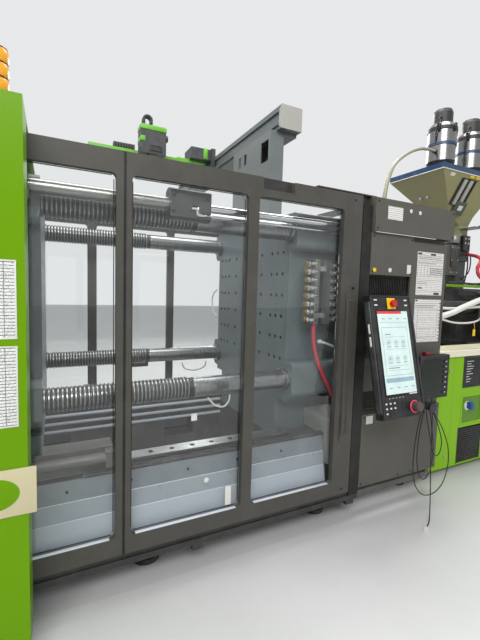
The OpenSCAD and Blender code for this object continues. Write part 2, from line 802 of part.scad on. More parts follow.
// A half nut: an arc with teeth that fit between the tie bar's ridges
lock_open = 18;
tooth_r = root_r + 0.8;
nut_x0 = lock_x0 + 24;
nut_teeth = 7;
module half_nut() {
  phase = ceil((nut_x0 - bar_end - 20) / ridge_pitch) * ridge_pitch + bar_end + 20;
  teeth = [for (i = [0 : nut_teeth - 1]) each [
    [phase + (i + 0.72) * ridge_pitch, ridge_r + 1],
    [phase + (i + 0.78) * ridge_pitch, tooth_r],
    [phase + (i + 0.92) * ridge_pitch, tooth_r],
    [phase + (i + 0.98) * ridge_pitch, ridge_r + 1]]];
  outline = concat([[lock_x0 + 20 + run, ridge_r + 1]], teeth,
    [[mp_x0 - 20 - run, ridge_r + 1], [mp_x0 - 20 - run, 94], [lock_x0 + 20 + run, 94]]);
  rotate([0, 90, 0]) rotate([0, 0, 125])
    rotate_extrude(angle = 110) polygon([for (q = outline) [q[1], q[0]]]);
  translate([lock_x, 0, 90]) cylinder(h = 65, r = lock_rod_r);
}
module lock_nuts_upper() {
  color(steel) placed()
    for (y = [-bar_y, bar_y])
      for (z = [-bar_z, bar_z])
        translate([0, y, axis_h + z + lock_open]) half_nut();
}
module lock_nuts_lower() {
  color(steel) placed()
    for (y = [-bar_y, bar_y])
      for (z = [-bar_z, bar_z])
        translate([0, y, axis_h + z - lock_open]) mirror([0, 0, 1]) half_nut();
}

// The travel cylinders on the moving platen: tube, head, and the saddle on the ear
module travel_cylinder() {
  difference() {
    union() {
      bar_x(mp_x0, head_x0, -travel_y, axis_h + travel_z, travel_barrel_r);
      intersection() {
        bar_x(head_x0, head_x1, -travel_y, axis_h + travel_z, 79);
        block(head_x0, head_x1, -travel_y - 45, -travel_y + 48, axis_h + travel_z - 80,
          axis_h + travel_z + 80);
      }
      block(mp_x0 + 40, mp_x0 + 110, -travel_y - 20, -ear_w / 2, axis_h + travel_z - 60,
        axis_h + travel_z + 40);
      block(mp_x1 - 110, mp_x1 - 40, -travel_y - 20, -ear_w / 2, axis_h + travel_z - 60,
        axis_h + travel_z + 40);
    }
    bar_x(mp_x0 + 20, head_x0 - 20, -travel_y, axis_h + travel_z, travel_barrel_r - 5);
    bar_x(head_x0 - 21, head_x1 + 1, -travel_y, axis_h + travel_z, travel_rod_r + 0.5);
    bar_x(head_x0 - 1, head_x1 + 1, -travel_y, axis_h + travel_z - sensor_drop, 7);
    bar_x(mp_x1 - 111, mp_x1 - 39, -travel_y, axis_h + travel_z - sensor_drop, 7.5);
  }
}
module travel_cylinders() {
  color(dark) placed() {
    travel_cylinder();
    translate([0, 0, 2 * axis_h]) rotate([180, 0, 0]) travel_cylinder();
  }
}

// The ejector's cylinder and its two guide bars behind the moving platen
module ejector_housing() {
  color(dark) placed() {
    both_sides() bar_x(mp_x0 - 330, mp_x0, 150, axis_h, 22);
    block(mp_x0 - 370, mp_x0 - 330, -200, 200, axis_h - 90, axis_h + 90);
    ring_x(mp_x0 - 560, mp_x0 - 370, 0, axis_h, 70, 20.4);
  }
}

// The ejector plate with its rod, which pushes through the moving platen
module ejector_plate() {
  color(steel) placed() {
    difference() {
      block(mp_x0 - 290, mp_x0 - 240, -210, 210, axis_h - 70, axis_h + 70);
      both_sides() bar_x(mp_x0 - 291, mp_x0 - 239, 150, axis_h, 22.4);
    }
    bar_x(mp_x0 - 240, mp_x1 - 90, 0, axis_h, 30);
  }
}

// A door frame's drawing with its round-cornered window openings
module frame_drawing(x0, x1, windows) {
  difference() {
    translate([x0, door_z0]) square([x1 - x0, door_z1 - door_z0]);
    for (i = windows)
      translate([glass_x[i], glass_z0]) round_rect(glass_w[i], glass_z1 - glass_z0, 22);
  }
}

// The rebate that holds a pane, cut from the inner face
module rebates(windows, y0, y1) {
  for (i = windows)
    block(glass_x[i] - glass_in, glass_x[i] + glass_w[i] + glass_in, y0, y1,
      glass_z0 - glass_in, glass_z1 + glass_in);
}

// The left leaf of the operator's door, with one window
module door_frame_left() {
  color(dark) placed() difference() {
    facing(-door_y, door_t) frame_drawing(door_left, mullion_x - 1, [0]);
    rebates([0], -door_y + door_t - pane_t, -door_y + door_t + 1);
  }
}

// The right leaf, with two windows, the notch for the robot's foot and the grip strip
module door_frame_right() {
  color(dark) placed() {
    difference() {
      facing(-door_y, door_t) frame_drawing(mullion_x + 1, door_right - 25, [1, 2]);
      rebates([1, 2], -door_y + door_t - pane_t, -door_y + door_t + 1);
      block(-340, -140, -door_y - 1, -door_y + door_t + 1, door_z1 - 60, door_z1 + 1);
    }
    block(door_right - 25, door_right, -door_y, -door_y + door_t, door_z0, door_z1);
    block(262, 322, -door_y - 6, -door_y, 560, 1500);
  }
}

// The three clear panes, each lying in its frame's rebate
module panes() {
  for (i = [0 : 2])
    block(glass_x[i] - glass_in + 0.3, glass_x[i] + glass_w[i] + glass_in - 0.3,
      -door_y + door_t - pane_t, -door_y + door_t - 1, glass_z0 - glass_in + 0.3,
      glass_z1 + glass_in - 0.3);
}
module door_panes() {
  color([0.8, 0.9, 0.92, 0.3]) placed() panes();
}

// The sliding door on the other side, in one frame
module rear_door_frame() {
  color(dark) placed() mirror([0, 1, 0]) difference() {
    facing(-door_y, door_t) frame_drawing(door_left, door_right, [0, 1, 2]);
    rebates([0, 1, 2], -door_y + door_t - pane_t, -door_y + door_t + 1);
  }
}
module rear_door_panes() {
  color([0.8, 0.9, 0.92, 0.3]) placed() mirror([0, 1, 0]) panes();
}

// The sliding guard beside the nozzle
guard_y = door_y - 31;
module purge_guard() {
  color(dark) placed() {
    tray(mid_x1 + 6, purge_x1 - 8, low_z1 - 6 + run, hood_z0 - 30, -guard_y - 15, 14, 4);
    block(purge_x1 - 42, purge_x1 - 28, -guard_y - 27, -guard_y - 15, 1250, 1450);
  }
}

// The operator panel's housing, leaning back with its screen recess
panel_w = 345;
panel_l = 736;
panel_t = 58;
lean = 13;
module panel_frame() {
  translate([panel_x, -arm_y - 50, panel_z]) rotate([-lean, 0, 0]) children();
}
module panel_housing() {
  color(black) placed() {
    panel_frame() difference() {
      translate([-panel_w / 2, -panel_t, -panel_l / 2]) cube([panel_w, panel_t, panel_l]);
      translate([-134, -panel_t - 1, -panel_l / 2 + 130]) cube([268, 3, 477]);
      translate([panel_w / 2 - 80, -panel_t - 1, -panel_l / 2 + 55]) rotate([-90, 0, 0])
        cylinder(h = 30, r = 20.4);
      translate([0, -panel_t - 1, panel_l / 2 - 52]) rotate([-90, 0, 0])
        cylinder(h = 30, r = 14.4);
    }
    difference() {
      union() {
        for (z = [panel_z - 84, panel_z + 61])
          translate([panel_x, -arm_y, z]) cylinder(h = 23, r = 30);
        translate([panel_x, -arm_y, panel_z - 61]) cylinder(h = 122, r = 14.9);
        for (z = [panel_z - 84, panel_z + 61])
          block(panel_x - 25, panel_x + 25, -arm_y - 80, -arm_y, z, z + 23);
      }
      panel_frame() translate([-panel_w / 2, -panel_t, -panel_l / 2])
        cube([panel_w, panel_t, panel_l]);
    }
  }
}

// The turning knob with its ring, at the panel's lower right corner
module panel_knob() {
  color(dark) placed() panel_frame()
    translate([panel_w / 2 - 80, 0, -panel_l / 2 + 55]) rotate([90, 0, 0]) {
      translate([0, 0, panel_t - 25]) cylinder(h = 26, r = 20);
      translate([0, 0, panel_t + 0.3]) cylinder(h = 42, r = 28);
    }
}

// The red mushroom button at the panel's top
module estop_button() {
  color([0.75, 0.1, 0.1]) placed() panel_frame()
    translate([0, 0, panel_l / 2 - 52]) rotate([90, 0, 0]) {
      translate([0, 0, panel_t - 18]) cylinder(h = 34, r = 14);
      translate([0, 0, panel_t + 16]) cylinder(h = 14, r = 22);
    }
}

// The hinged green door of the control cabinet in the injection bed
module cabinet_door() {
  color(green) placed() {
    difference() {
      block(cabinet_x[2] + 3, cabinet_x[3] - 3, -side_y, -side_y + 24, 47, cabinet_top - 2);
      block(cabinet_x[2] + 9, cabinet_x[3] - 9, -side_y + 6, -side_y + 25, 53, cabinet_top - 8);
    }
    for (z = hinge_z) {
      translate([hinge_x, hinge_y, z]) cylinder(h = 80, r = 4);
      translate([hinge_x, hinge_y, z + 40 + run]) cylinder(h = 40, r = 8);
      block(hinge_x - 34, hinge_x, hinge_y, -side_y, z + 40 + run, z + 80);
    }
    block(cabinet_x[2] + 60, cabinet_x[2] + 74, -side_y - 34, -side_y - 26, 480, 640);
    for (z = [490, 616])
      block(cabinet_x[2] + 60, cabinet_x[2] + 74, -side_y - 26, -side_y, z, z + 14);
  }
}

// The injection unit's carriage: runners, deck, feed block and end plate
module carriage_frame() {
  color(dark) placed() difference() {
    union() {
      block(carriage_x0, carriage_x1, -380, 380, deck_z, deck_z + 50);
      both_sides()
        for (x = [carriage_x0 + 20, carriage_x1 - 200])
          difference() {
            block(x, x + 180, rail2_y - 55, rail2_y + 55, inj_top + 12, deck_z);
            block(x - 1, x + 181, rail2_y - 24 - run, rail2_y + 24 + run, inj_top + 11,
              inj_top + rail2_h + run);
          }
      block(throat_x - 170, throat_x + 180, -190, 190, deck_z + 50, feed_top);
      block(throat_x - 170, throat_x - 90, -400, 400, axis_h - 110, axis_h + 110);
      block(throat_x + 120, throat_x + 180, -380, 380, deck_z + 50, axis_h + 120);
    }
    bar_x(throat_x - 171, throat_x + 181, 0, axis_h, barrel_r + 0.2);
    translate([throat_x, 0, axis_h]) cylinder(h = 400, r = 50);
    both_sides() bar_x(throat_x - 171, throat_x - 89, pull_y, axis_h, pull_r + 1);
  }
}

// The plasticising barrel with its head and nozzle
module barrel() {
  color(steel) placed() difference() {
    union() {
      bar_x(barrel_x0, throat_x + 180, 0, axis_h, barrel_r);
      bar_x(barrel_x0 - 60, barrel_x0, 0, axis_h, barrel_r - 25);
      bar_x(90, barrel_x0 - 60, 0, axis_h, 32);
      bar_x(60, 90, 0, axis_h, 20);
    }
    bar_x(225, throat_x + 181, 0, axis_h, screw_r);
    bar_x(59, 226, 0, axis_h, 4, $fn = 16);
    translate([throat_x, 0, axis_h]) cylinder(h = barrel_r + 1, r = 40);
  }
}

// The heater bands round the barrel, and the cylinders that pull the unit forward
module heater_bands() {
  color(steel) placed() {
    for (x = [430 : 170 : throat_x - 340])
      ring_x(x, x + 140, 0, axis_h, barrel_r + 14, barrel_r);
    both_sides()
      difference() {
        bar_x(throat_x - 800, throat_x - 170, pull_y, axis_h, 55);
        bar_x(throat_x - 801, throat_x - 169, pull_y, axis_h, pull_r + 1);
      }
  }
}

// The screw inside the barrel, with its flights
flight_pitch = screw_d;
screw_x0 = 235;
module injection_screw() {
  color(steel) placed() {
    bar_x(screw_x0 + 90, drive_x, 0, axis_h, screw_r - 10);
    translate([screw_x0, 0, axis_h]) rotate([0, 90, 0]) cylinder(h = 90, r1 = 4, r2 = screw_r - 10);
    for (x = [screw_x0 + 140 : flight_pitch : throat_x + 100])
      bar_x(x, x + 9, 0, axis_h, screw_r - 0.1);
  }
}

// The injection crosshead with its drive motor, moved by two injection cylinders
inj_y = 260;
module screw_drive() {
  color(dark) placed() {
    block(drive_x, drive_x + 90, -360, 360, axis_h - 150, axis_h + 150);
    bar_x(drive_x + 90, drive_x + 240, 0, axis_h, 150);
    bar_x(drive_x + 240, drive_x + 620, 0, axis_h, 120);
    both_sides() bar_x(throat_x + 240, drive_x, inj_y, axis_h, 30);
  }
}

// The material hopper: rim, inverted pyramid, outlet and the throat box under it
module funnel(low, high, z_low, z_high) {
  polyhedron(
    points = [[low[0], -low[2], z_low], [low[1], -low[2], z_low], [low[1], low[2], z_low],
      [low[0], low[2], z_low], [high[0], -high[2], z_high], [high[1], -high[2], z_high],
      [high[1], high[2], z_high], [high[0], high[2], z_high]],
    faces = [[0, 1, 2, 3], [4, 5, 1, 0], [5, 6, 2, 1], [6, 7, 3, 2], [7, 4, 0, 3], [7, 6, 5, 4]]);
}
skin = 6;
neck_z = gate_z + 130;
funnel_x = throat_x - 290;
module hopper() {
  color([0.48, 0.48, 0.33]) placed() {
    difference() {
      union() {
        funnel([funnel_x, throat_x + outlet + 15, 110], [rim_x0, rim_x1, hopper_w],
          neck_z, hopper_z - 50);
        funnel([throat_x - outlet, throat_x + outlet, outlet],
          [funnel_x, throat_x + outlet + 15, 110], gate_z + 40, neck_z);
        block(rim_x0, rim_x1, -hopper_w, hopper_w, hopper_z - 50, hopper_z);
      }
      funnel([funnel_x + skin, throat_x + outlet + 15 - skin, 110 - skin],
        [rim_x0 + skin, rim_x1 - skin, hopper_w - skin], neck_z, hopper_z - 50);
      funnel([throat_x - outlet + skin, throat_x + outlet - skin, outlet - skin],
        [funnel_x + skin, throat_x + outlet + 15 - skin, 110 - skin], gate_z + 39, neck_z + 0.1);
      block(rim_x0 + skin, rim_x1 - skin, -hopper_w + skin, hopper_w - skin,
        hopper_z - 50.1, hopper_z - skin);
    }
    difference() {
      union() {
        block(throat_x - outlet, throat_x + outlet, -outlet, outlet, feed_top, gate_z + 40);
        block(throat_x - 85, throat_x + 95, -90, 90, 1868, 2058);
      }
      block(throat_x - outlet + skin, throat_x + outlet - skin, -outlet + skin, outlet - skin,
        feed_top - 1, gate_z + 41);
      block(throat_x - outlet - 1, throat_x + outlet + 1, -outlet - 1, outlet - skin,
        gate_z - run, gate_z + 8 + run);
    }
  }
}

// The slide gate that shuts the hopper's outlet
module slide_gate() {
  color(steel) placed() {
    block(throat_x - outlet + 1, throat_x + outlet - 1, -outlet - 170, outlet - 8, gate_z, gate_z + 8);
    block(throat_x - 30, throat_x + 30, -outlet - 190, -outlet - 170, gate_z - 8, gate_z + 16);
  }
}

// The two vacuum loaders on the hopper's lid
loader_r = 127;
module loader(x) {
  translate([x, -60, hopper_z]) rotate_extrude()
    polygon([[0, 0], [loader_r + 12, 0], [loader_r + 12, 16], [loader_r - 37, 16],
      [loader_r, 96], [loader_r, 236], [loader_r + 7, 240], [loader_r + 7, 264],
      [loader_r, 268], [loader_r, 376], [loader_r + 7, 380], [loader_r + 7, 412],
      [loader_r - 22, 450], [86, 456], [86, 560], [74, 590], [0, 590]]);
}
module loaders() {
  color(steel) placed() {
    loader(rim_x0 + 275);
    loader(rim_x1 - 165);
  }
}

// The carriage that runs along the robot's beam
module robot_carriage() {
  color(dark) placed() {
    block(robot_x - 60, robot_x - 14 - run, carriage_y - 130, carriage_y + 130, beam_z + 12,
      beam_z + beam_h + 60);
    block(robot_x - 272, robot_x - 60, carriage_y - 110, carriage_y + 110, kick_z + 20,
      beam_z + beam_h + 50);
    for (z = [beam_z + 21, beam_z + 51, beam_z + beam_h - 59, beam_z + beam_h - 29])
      block(robot_x - 14 - run, robot_x - 4, carriage_y - 120, carriage_y + 120, z, z + 8);
  }
}

// The robot's kick axis: the short beam along the machine with its green strips
kick_x0 = -1050;
kick_x1 = robot_x - 280;
module robot_kick_axis() {
  color(green) placed() {
    block(kick_x0, kick_x1, carriage_y - 60, carriage_y + 60, kick_z - 56, kick_z);
    block(kick_x1 - 120, robot_x - 80, carriage_y - 40, carriage_y + 40, kick_z, kick_z + 20 - run);
  }
}

// The robot's head with its raised vertical arm
head_x = -480;
module robot_arm() {
  color(dark) placed() {
    block(head_x - 120, head_x + 120, carriage_y - 200, carriage_y - 60 - run, kick_z - 50,
      kick_z + 210);
    block(head_x - 40, head_x + 40, carriage_y - 190, carriage_y - 110, kick_z - 114, kick_z - 50);
    translate([head_x, carriage_y - 150, kick_z - 144]) cylinder(h = 30, r = 60);
  }
}

// The cable that hangs in loops below the small display and runs down to the floor
cable_r = 3.5;
cable_route = [[1060, -862, 774.5], [1060, -862, 730], [1100, -870, 640], [1165, -885, 540],
  [1218, -900, 400], [1224, -906, 270], [1172, -911, 150], [1075, -914, 92], [960, -914, 104],
  [880, -911, 182], [850, -906, 300], [862, -897, 450], [898, -887, 600], [932, -882, 700],
  [945, -880, 744], [975, -880, 762], [1005, -880, 744], [1016, -885, 680], [1040, -895, 540],
  [1050, -904, 400], [1022, -911, 270], [960, -914, 218], [902, -914, 262], [876, -911, 380],
  [888, -905, 520], [920, -899, 660], [944, -895, 740], [975, -894, 762], [1005, -895, 744],
  [1030, -899, 684], [1084, -906, 580], [1122, -912, 470], [1104, -918, 392], [1056, -921, 372],
  [1014, -919, 430], [984, -915, 540], [950, -911, 660], [944, -909, 740], [975, -908, 762],
  [1004, -910, 744], [1000, -915, 690], [985, -932, 520], [962, -956, 330], [935, -985, 170],
  [905, -1012, 66], [872, -1036, 12], [832, -1058, 5], [790, -1080, 8]];
module hanging_cable() {
  color(black) placed() hose(smooth(cable_route, 2), cable_r, 8);
}

// The connector on the cable's free end, on the floor
module cable_plug() {
  color([0.85, 0.85, 0.83]) placed()
    translate([790, -1080, 8]) rotate([0, 0, 208]) translate([0.5, -12, -8])
      cube([45, 24, 16]);
}

clamp_base();
injection_base();
levelling_pads();
guide_rails();
fixed_platen();
tie_bars();
clamp_cylinders();
travel_rods();
cooling_manifold();
hoses();
bed_aprons();
corner_box();
clamp_cover_front();
clamp_cover_rear();
clamp_cover_end();
door_tracks();
door_posts();
guard_frame();
hood_cover();
purge_covers();
vent_grille();
rear_purge_cover();
cabinet_panels();
worktop();
robot_console();
robot_beam();
aux_display();
panel_arm();
carriage_rods();
moving_platen();
platen_shoes();
lock_housings();
travel_cylinders();
ejector_housing();
lock_nuts_upper();
lock_nuts_lower();
ejector_plate();
door_frame_left();
door_frame_right();
door_panes();
rear_door_frame();
rear_door_panes();
purge_guard();
panel_housing();
panel_knob();
estop_button();
cabinet_door();
carriage_frame();
barrel();
heater_bands();
injection_screw();
screw_drive();
hopper();
slide_gate();
loaders();
robot_carriage();
robot_kick_axis();
robot_arm();
hanging_cable();
cable_plug();
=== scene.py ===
import math

import bmesh
import bpy
from mathutils import Matrix, Vector


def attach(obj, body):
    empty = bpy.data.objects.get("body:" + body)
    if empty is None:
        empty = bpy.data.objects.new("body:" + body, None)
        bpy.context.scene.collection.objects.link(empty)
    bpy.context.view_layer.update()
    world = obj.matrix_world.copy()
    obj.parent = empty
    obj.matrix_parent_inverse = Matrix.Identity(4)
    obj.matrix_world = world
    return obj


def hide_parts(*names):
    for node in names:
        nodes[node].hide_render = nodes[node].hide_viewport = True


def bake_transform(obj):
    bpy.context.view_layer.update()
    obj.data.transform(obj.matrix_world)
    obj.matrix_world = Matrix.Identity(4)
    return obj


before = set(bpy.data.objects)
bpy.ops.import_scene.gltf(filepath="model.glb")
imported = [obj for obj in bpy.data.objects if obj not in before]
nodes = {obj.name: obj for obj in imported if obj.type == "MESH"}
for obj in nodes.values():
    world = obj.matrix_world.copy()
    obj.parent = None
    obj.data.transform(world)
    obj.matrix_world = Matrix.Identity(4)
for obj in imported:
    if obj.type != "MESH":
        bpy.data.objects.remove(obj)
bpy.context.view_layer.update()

# The machine is laid out in millimetres from the fixed platen's mould face and the centre line
MIDDLE_X = 850
MIDDLE_Y = 700
MM = 0.001


def at(x, y, z):
    return Vector(((x - MIDDLE_X) * MM, (y - MIDDLE_Y) * MM, z * MM))


# ---- camera and light ----
CAMERA_PLACE = (-2.200, -3.283, 1.491)
YAW, PITCH, ROLL = (math.radians(a) for a in (26.584, -4.411, 1.651))
CAMERA_LENS = 21.04
FAR_CLIP = 100


def stand_camera():
    turn = (Matrix.Rotation(-YAW, 4, "Z") @ Matrix.Rotation(math.pi / 2 + PITCH, 4, "X")
            @ Matrix.Rotation(ROLL, 4, "Z"))
    bpy.ops.object.camera_add(location=(0, 0, 0))
    camera = bpy.context.object
    camera.matrix_world = Matrix.Translation(CAMERA_PLACE) @ turn
    camera.data.sensor_width = 36
    camera.data.lens = CAMERA_LENS
    camera.data.clip_end = FAR_CLIP
    bpy.context.scene.camera = camera


def area_lamp(name, place, aim, size, power):
    bpy.ops.object.light_add(type="AREA", location=place)
    lamp = bpy.context.object
    lamp.name = name
    lamp.data.shape = "RECTANGLE"
    lamp.data.size, lamp.data.size_y = size
    lamp.data.energy = power
    direction = Vector(aim) - Vector(place)
    lamp.rotation_euler = direction.to_track_quat("-Z", "Y").to_euler()


stand_camera()
area_lamp("high_front", (-3.5, -6.5, 5.5), (-0.8, -0.6, 1.0), (5.0, 2.0), 330)
area_lamp("high_over", (-1.0, -0.6, 6.0), (-1.0, -0.6, 1.0), (7.0, 2.4), 360)
area_lamp("high_back", (2.5, 4.5, 5.0), (0.5, 0.0, 1.0), (4.0, 2.0), 200)
bpy.context.scene.view_settings.view_transform = "Standard"


# ---- shader nodes: small helpers ----

def feed(tree, node, inputs):
    for key, value in dict(inputs).items():
        if isinstance(value, bpy.types.NodeSocket):
            tree.links.new(value, node.inputs[key])
        else:
            node.inputs[key].default_value = value


def grow(tree, kind, inputs=()):
    """A shader node whose inputs are plain values or outputs of other nodes."""
    node = tree.nodes.new("ShaderNode" + kind)
    feed(tree, node, inputs)
    return node


def maths(tree, operation, first, second):
    node = grow(tree, "Math", {0: first, 1: second})
    node.operation = operation
    return node.outputs[0]


def object_place(tree):
    return grow(tree, "TexCoord").outputs["Object"]


def noise(tree, scale, detail, rough=0.5, place=None):
    """Noise over the object's own place, unless another place is given."""
    return grow(tree, "TexNoise", {"Vector": place or object_place(tree), "Scale": scale,
                                   "Detail": detail, "Roughness": rough}).outputs["Fac"]


def span(tree, value, low=0, high=1, from_low=0.3, from_high=0.7):
    return grow(tree, "MapRange", {"Value": value, "From Min": from_low, "From Max": from_high,
                                   "To Min": low, "To Max": high}).outputs["Result"]


def blend_colour(tree, factor, first, second, how="MIX"):
    node = tree.nodes.new("ShaderNodeMix")
    node.data_type = "RGBA"
    node.blend_type = how
    feed(tree, node, {0: factor, 6: first, 7: second})
    return node.outputs[2]


def bumped(tree, height, strength, distance):
    return grow(tree, "Bump", {"Height": height, "Strength": strength,
                               "Distance": distance}).outputs["Normal"]


def mixed(tree, factor, first, second):
    return grow(tree, "MixShader", {"Fac": factor, 1: first, 2: second}).outputs[0]


# ---- background: it shows a lighter grey than the light that it gives ----

def background():
    world = bpy.data.worlds.new("studio")
    bpy.context.scene.world = world
    world.use_nodes = True
    tree = world.node_tree
    tree.nodes.clear()
    lit = grow(tree, "Background", {"Color": (0.78, 0.80, 0.83, 1), "Strength": 0.62})
    seen = grow(tree, "Background", {"Color": (0.80, 0.81, 0.82, 1)})
    ray = grow(tree, "LightPath").outputs
    straight = maths(tree, "MAXIMUM", ray["Is Camera Ray"], ray["Is Transmission Ray"])
    all_seen = maths(tree, "MAXIMUM", straight, ray["Is Glossy Ray"])
    grow(tree, "OutputWorld", {"Surface": mixed(tree, all_seen, lit.outputs[0], seen.outputs[0])})


background()


# ---- shader groups: each one holds an effect that several finishes use ----
SKIN_OUTPUTS = {"Colour": "Color", "Roughness": "Float", "Normal": "Vector"}


def new_group(name, inputs):
    group = bpy.data.node_groups.new(name, "ShaderNodeTree")
    for in_out, sockets in (("INPUT", inputs), ("OUTPUT", SKIN_OUTPUTS)):
        for label, kind in sockets.items():
            group.interface.new_socket(label, in_out=in_out, socket_type="NodeSocket" + kind)
    return group, group.nodes.new("NodeGroupInput").outputs, group.nodes.new("NodeGroupOutput")


def make_coat_group():
    """Sprayed or moulded skin: slow tone drift, handling marks and a fine grain."""
    group, given, sink = new_group("sprayed_skin", {
        "Colour": "Color", "Drift": "Float", "Gloss Low": "Float", "Gloss High": "Float",
        "Grain Scale": "Float", "Grain": "Float", "Dust": "Float"})
    slow = noise(group, 1.7, 4)
    marks = noise(group, 9, 6, 0.62)
    grain = noise(group, given["Grain Scale"], 2)
    darker = blend_colour(group, 1.0, given["Colour"], (0.72, 0.72, 0.72, 1), "MULTIPLY")
    drift = maths(group, "MULTIPLY", span(group, slow), given["Drift"])
    toned = blend_colour(group, drift, given["Colour"], darker)
    dusty = maths(group, "MULTIPLY", span(group, marks, 0, 1, 0.42, 0.75), given["Dust"])
    feed(group, sink, {
        "Colour": blend_colour(group, dusty, toned, (0.62, 0.60, 0.56, 1)),
        "Roughness": span(group, marks, given["Gloss Low"], given["Gloss High"]),
        "Normal": bumped(group, grain, given["Grain"], 0.0006)})
    return group


def make_metal_group():
    """Worked metal: tool streaks along one axis, oil film patches and a faint waviness."""
    group, given, sink = new_group("worked_metal", {
        "Colour": "Color", "Streak": "Vector", "Depth": "Float", "Gloss Low": "Float",
        "Gloss High": "Float", "Film": "Float"})
    stretch = grow(group, "VectorMath", {0: object_place(group), 1: given["Streak"]})
    stretch.operation = "MULTIPLY"
    streaks = noise(group, 1, 3, place=stretch.outputs[0])
    patches = noise(group, 6, 5, 0.6)
    oily = maths(group, "MULTIPLY", span(group, patches, 0, 1, 0.45, 0.7), given["Film"])
    feed(group, sink, {
        "Colour": blend_colour(group, oily, given["Colour"], (0.20, 0.18, 0.15, 1)),
        "Roughness": span(group, streaks, given["Gloss Low"], given["Gloss High"]),
        "Normal": bumped(group, streaks, given["Depth"], 0.0004)})
    return group


COAT = make_coat_group()
METAL = make_metal_group()

# ---- finishes: every function below adds one to the table ----
F = {}


def blank_material(name):
    material = bpy.data.materials.new(name)
    material.use_nodes = True
    F[name] = material
    return material.node_tree, material.node_tree.nodes["Principled BSDF"]


def linear(colour):
    """A colour as seen on screen, 0 to 255, as the shader's own linear values."""
    return tuple((c / 255) ** 2.2 for c in colour) + (1,)


def skinned(name, group, colour, gloss, settings, own):
    """A finish that wears a shader group; own holds the constants on the shader itself."""
    tree, shader = blank_material(name)
    skin = tree.nodes.new("ShaderNodeGroup")
    skin.node_tree = group
    feed(tree, skin, {"Colour": linear(colour), "Gloss Low": gloss[0], "Gloss High": gloss[1],
                      **settings})
    worn = skin.outputs
    feed(tree, shader, {"Base Color": worn["Colour"], "Roughness": worn["Roughness"],
                        "Normal": worn["Normal"], **own})


def coat(name, colour, gloss=(0.3, 0.45), grain=(420, 0.1), drift=0.25, dust=0.06, specular=0.5):
    skinned(name, COAT, colour, gloss,
            {"Drift": drift, "Grain Scale": grain[0], "Grain": grain[1], "Dust": dust},
            {"Specular IOR Level": specular})


def metal(name, colour, gloss, streak, depth, film):
    skinned(name, METAL, colour, gloss, {"Streak": streak, "Depth": depth, "Film": film},
            {"Metallic": 1})


def clear_sheet(name, tint):
    """Clear polycarbonate: it throws little shade, and the light goes straight through."""
    tree, shader = blank_material(name)
    haze = noise(tree, 3, 6, 0.65)
    feed(tree, shader, {"Roughness": span(tree, haze, 0.0, 0.008), "Base Color": tint,
                        "Transmission Weight": 1, "IOR": 1.45})
    ray = grow(tree, "LightPath").outputs
    either = maths(tree, "MAXIMUM", ray["Is Shadow Ray"], ray["Is Diffuse Ray"])
    passing = grow(tree, "BsdfTransparent", {"Color": (0.95, 0.96, 0.96, 1)})
    feed(tree, tree.nodes["Material Output"],
         {"Surface": mixed(tree, either, shader.outputs[0], passing.outputs[0])})


def glowing(name, colour, strength, gloss=0.25):
    """A lit screen area: its own light varies a little over its face."""
    tree, shader = blank_material(name)
    uneven = noise(tree, 12, 2)
    lit = linear(colour)
    dim = tuple(c * 0.86 for c in lit[:3]) + (1,)
    shade = blend_colour(tree, span(tree, uneven), lit, dim)
    feed(tree, shader, {"Base Color": shade, "Emission Color": shade,
                        "Emission Strength": strength,
                        "Roughness": span(tree, uneven, gloss * 0.8, gloss * 1.3)})


def printed(name, paper, ink, rows, columns, origin):
    """A plain chart sheet: ruled lines and short unreadable strokes of ink."""
    tree, shader = blank_material(name)
    mapping = grow(tree, "Mapping", {"Vector": object_place(tree),
                                     "Location": [-c for c in origin]})
    axes = grow(tree, "SeparateXYZ", {0: mapping.outputs[0]}).outputs

    def ruled(value, pitch, width):
        return maths(tree, "LESS_THAN", maths(tree, "PINGPONG", value, pitch / 2), width)

    strokes = noise(tree, 260, 2, place=mapping.outputs[0])
    if columns:
        grid = maths(tree, "MAXIMUM", ruled(axes["Z"], rows, 0.0012),
                     ruled(axes["X"], columns, 0.0010))
        amount = maths(tree, "MAXIMUM", grid, span(tree, strokes, 0.0, 0.55, 0.55, 0.60))
    else:
        amount = maths(tree, "MULTIPLY", ruled(axes["Z"], rows, rows * 0.26),
                       span(tree, strokes, 0.0, 0.75, 0.42, 0.50))
    fibre = noise(tree, 900, 2)
    feed(tree, shader, {"Base Color": blend_colour(tree, amount, linear(paper), linear(ink)),
                        "Roughness": span(tree, fibre, 0.5, 0.7),
                        "Normal": bumped(tree, fibre, 0.05, 0.0003)})


coat("machine_grey", (84, 83, 79), (0.38, 0.52), dust=0.08)
coat("base_dark", (58, 58, 56), (0.38, 0.52), dust=0.08)
coat("track_dark", (46, 46, 44), (0.4, 0.55), dust=0.05)
coat("box_grey", (132, 132, 128), (0.34, 0.48), dust=0.08)
# Black paint, also used as painted shade on the platens' window walls
coat("frame_black", (34, 34, 33), (0.4, 0.55), dust=0.05)
coat("platen_paint", (94, 104, 106), (0.32, 0.5), (160, 0.5), 0.4, 0.08)
coat("lime", (106, 154, 0), (0.27, 0.32), (500, 0.06), 0.12, 0.0, specular=0.14)
coat("lime_cabinet", (132, 186, 8), (0.29, 0.34), (500, 0.06), 0.12, 0.0, specular=0.25)
# Painted shade: a darker copy of the lime for the back of a recess
coat("lime_painted_shade", (84, 132, 0), (0.3, 0.4), drift=0.12, dust=0)
# The apron's one pale paint in three tones: the middle and upper tones are painted shade and
# painted reflection
for name, colour in (("pale_paint", (172, 180, 190)), ("pale_middle_shaded", (146, 154, 162)),
                     ("pale_upper_shaded", (112, 119, 125))):
    coat(name, colour, (0.26, 0.46), drift=0.4, dust=0.1)
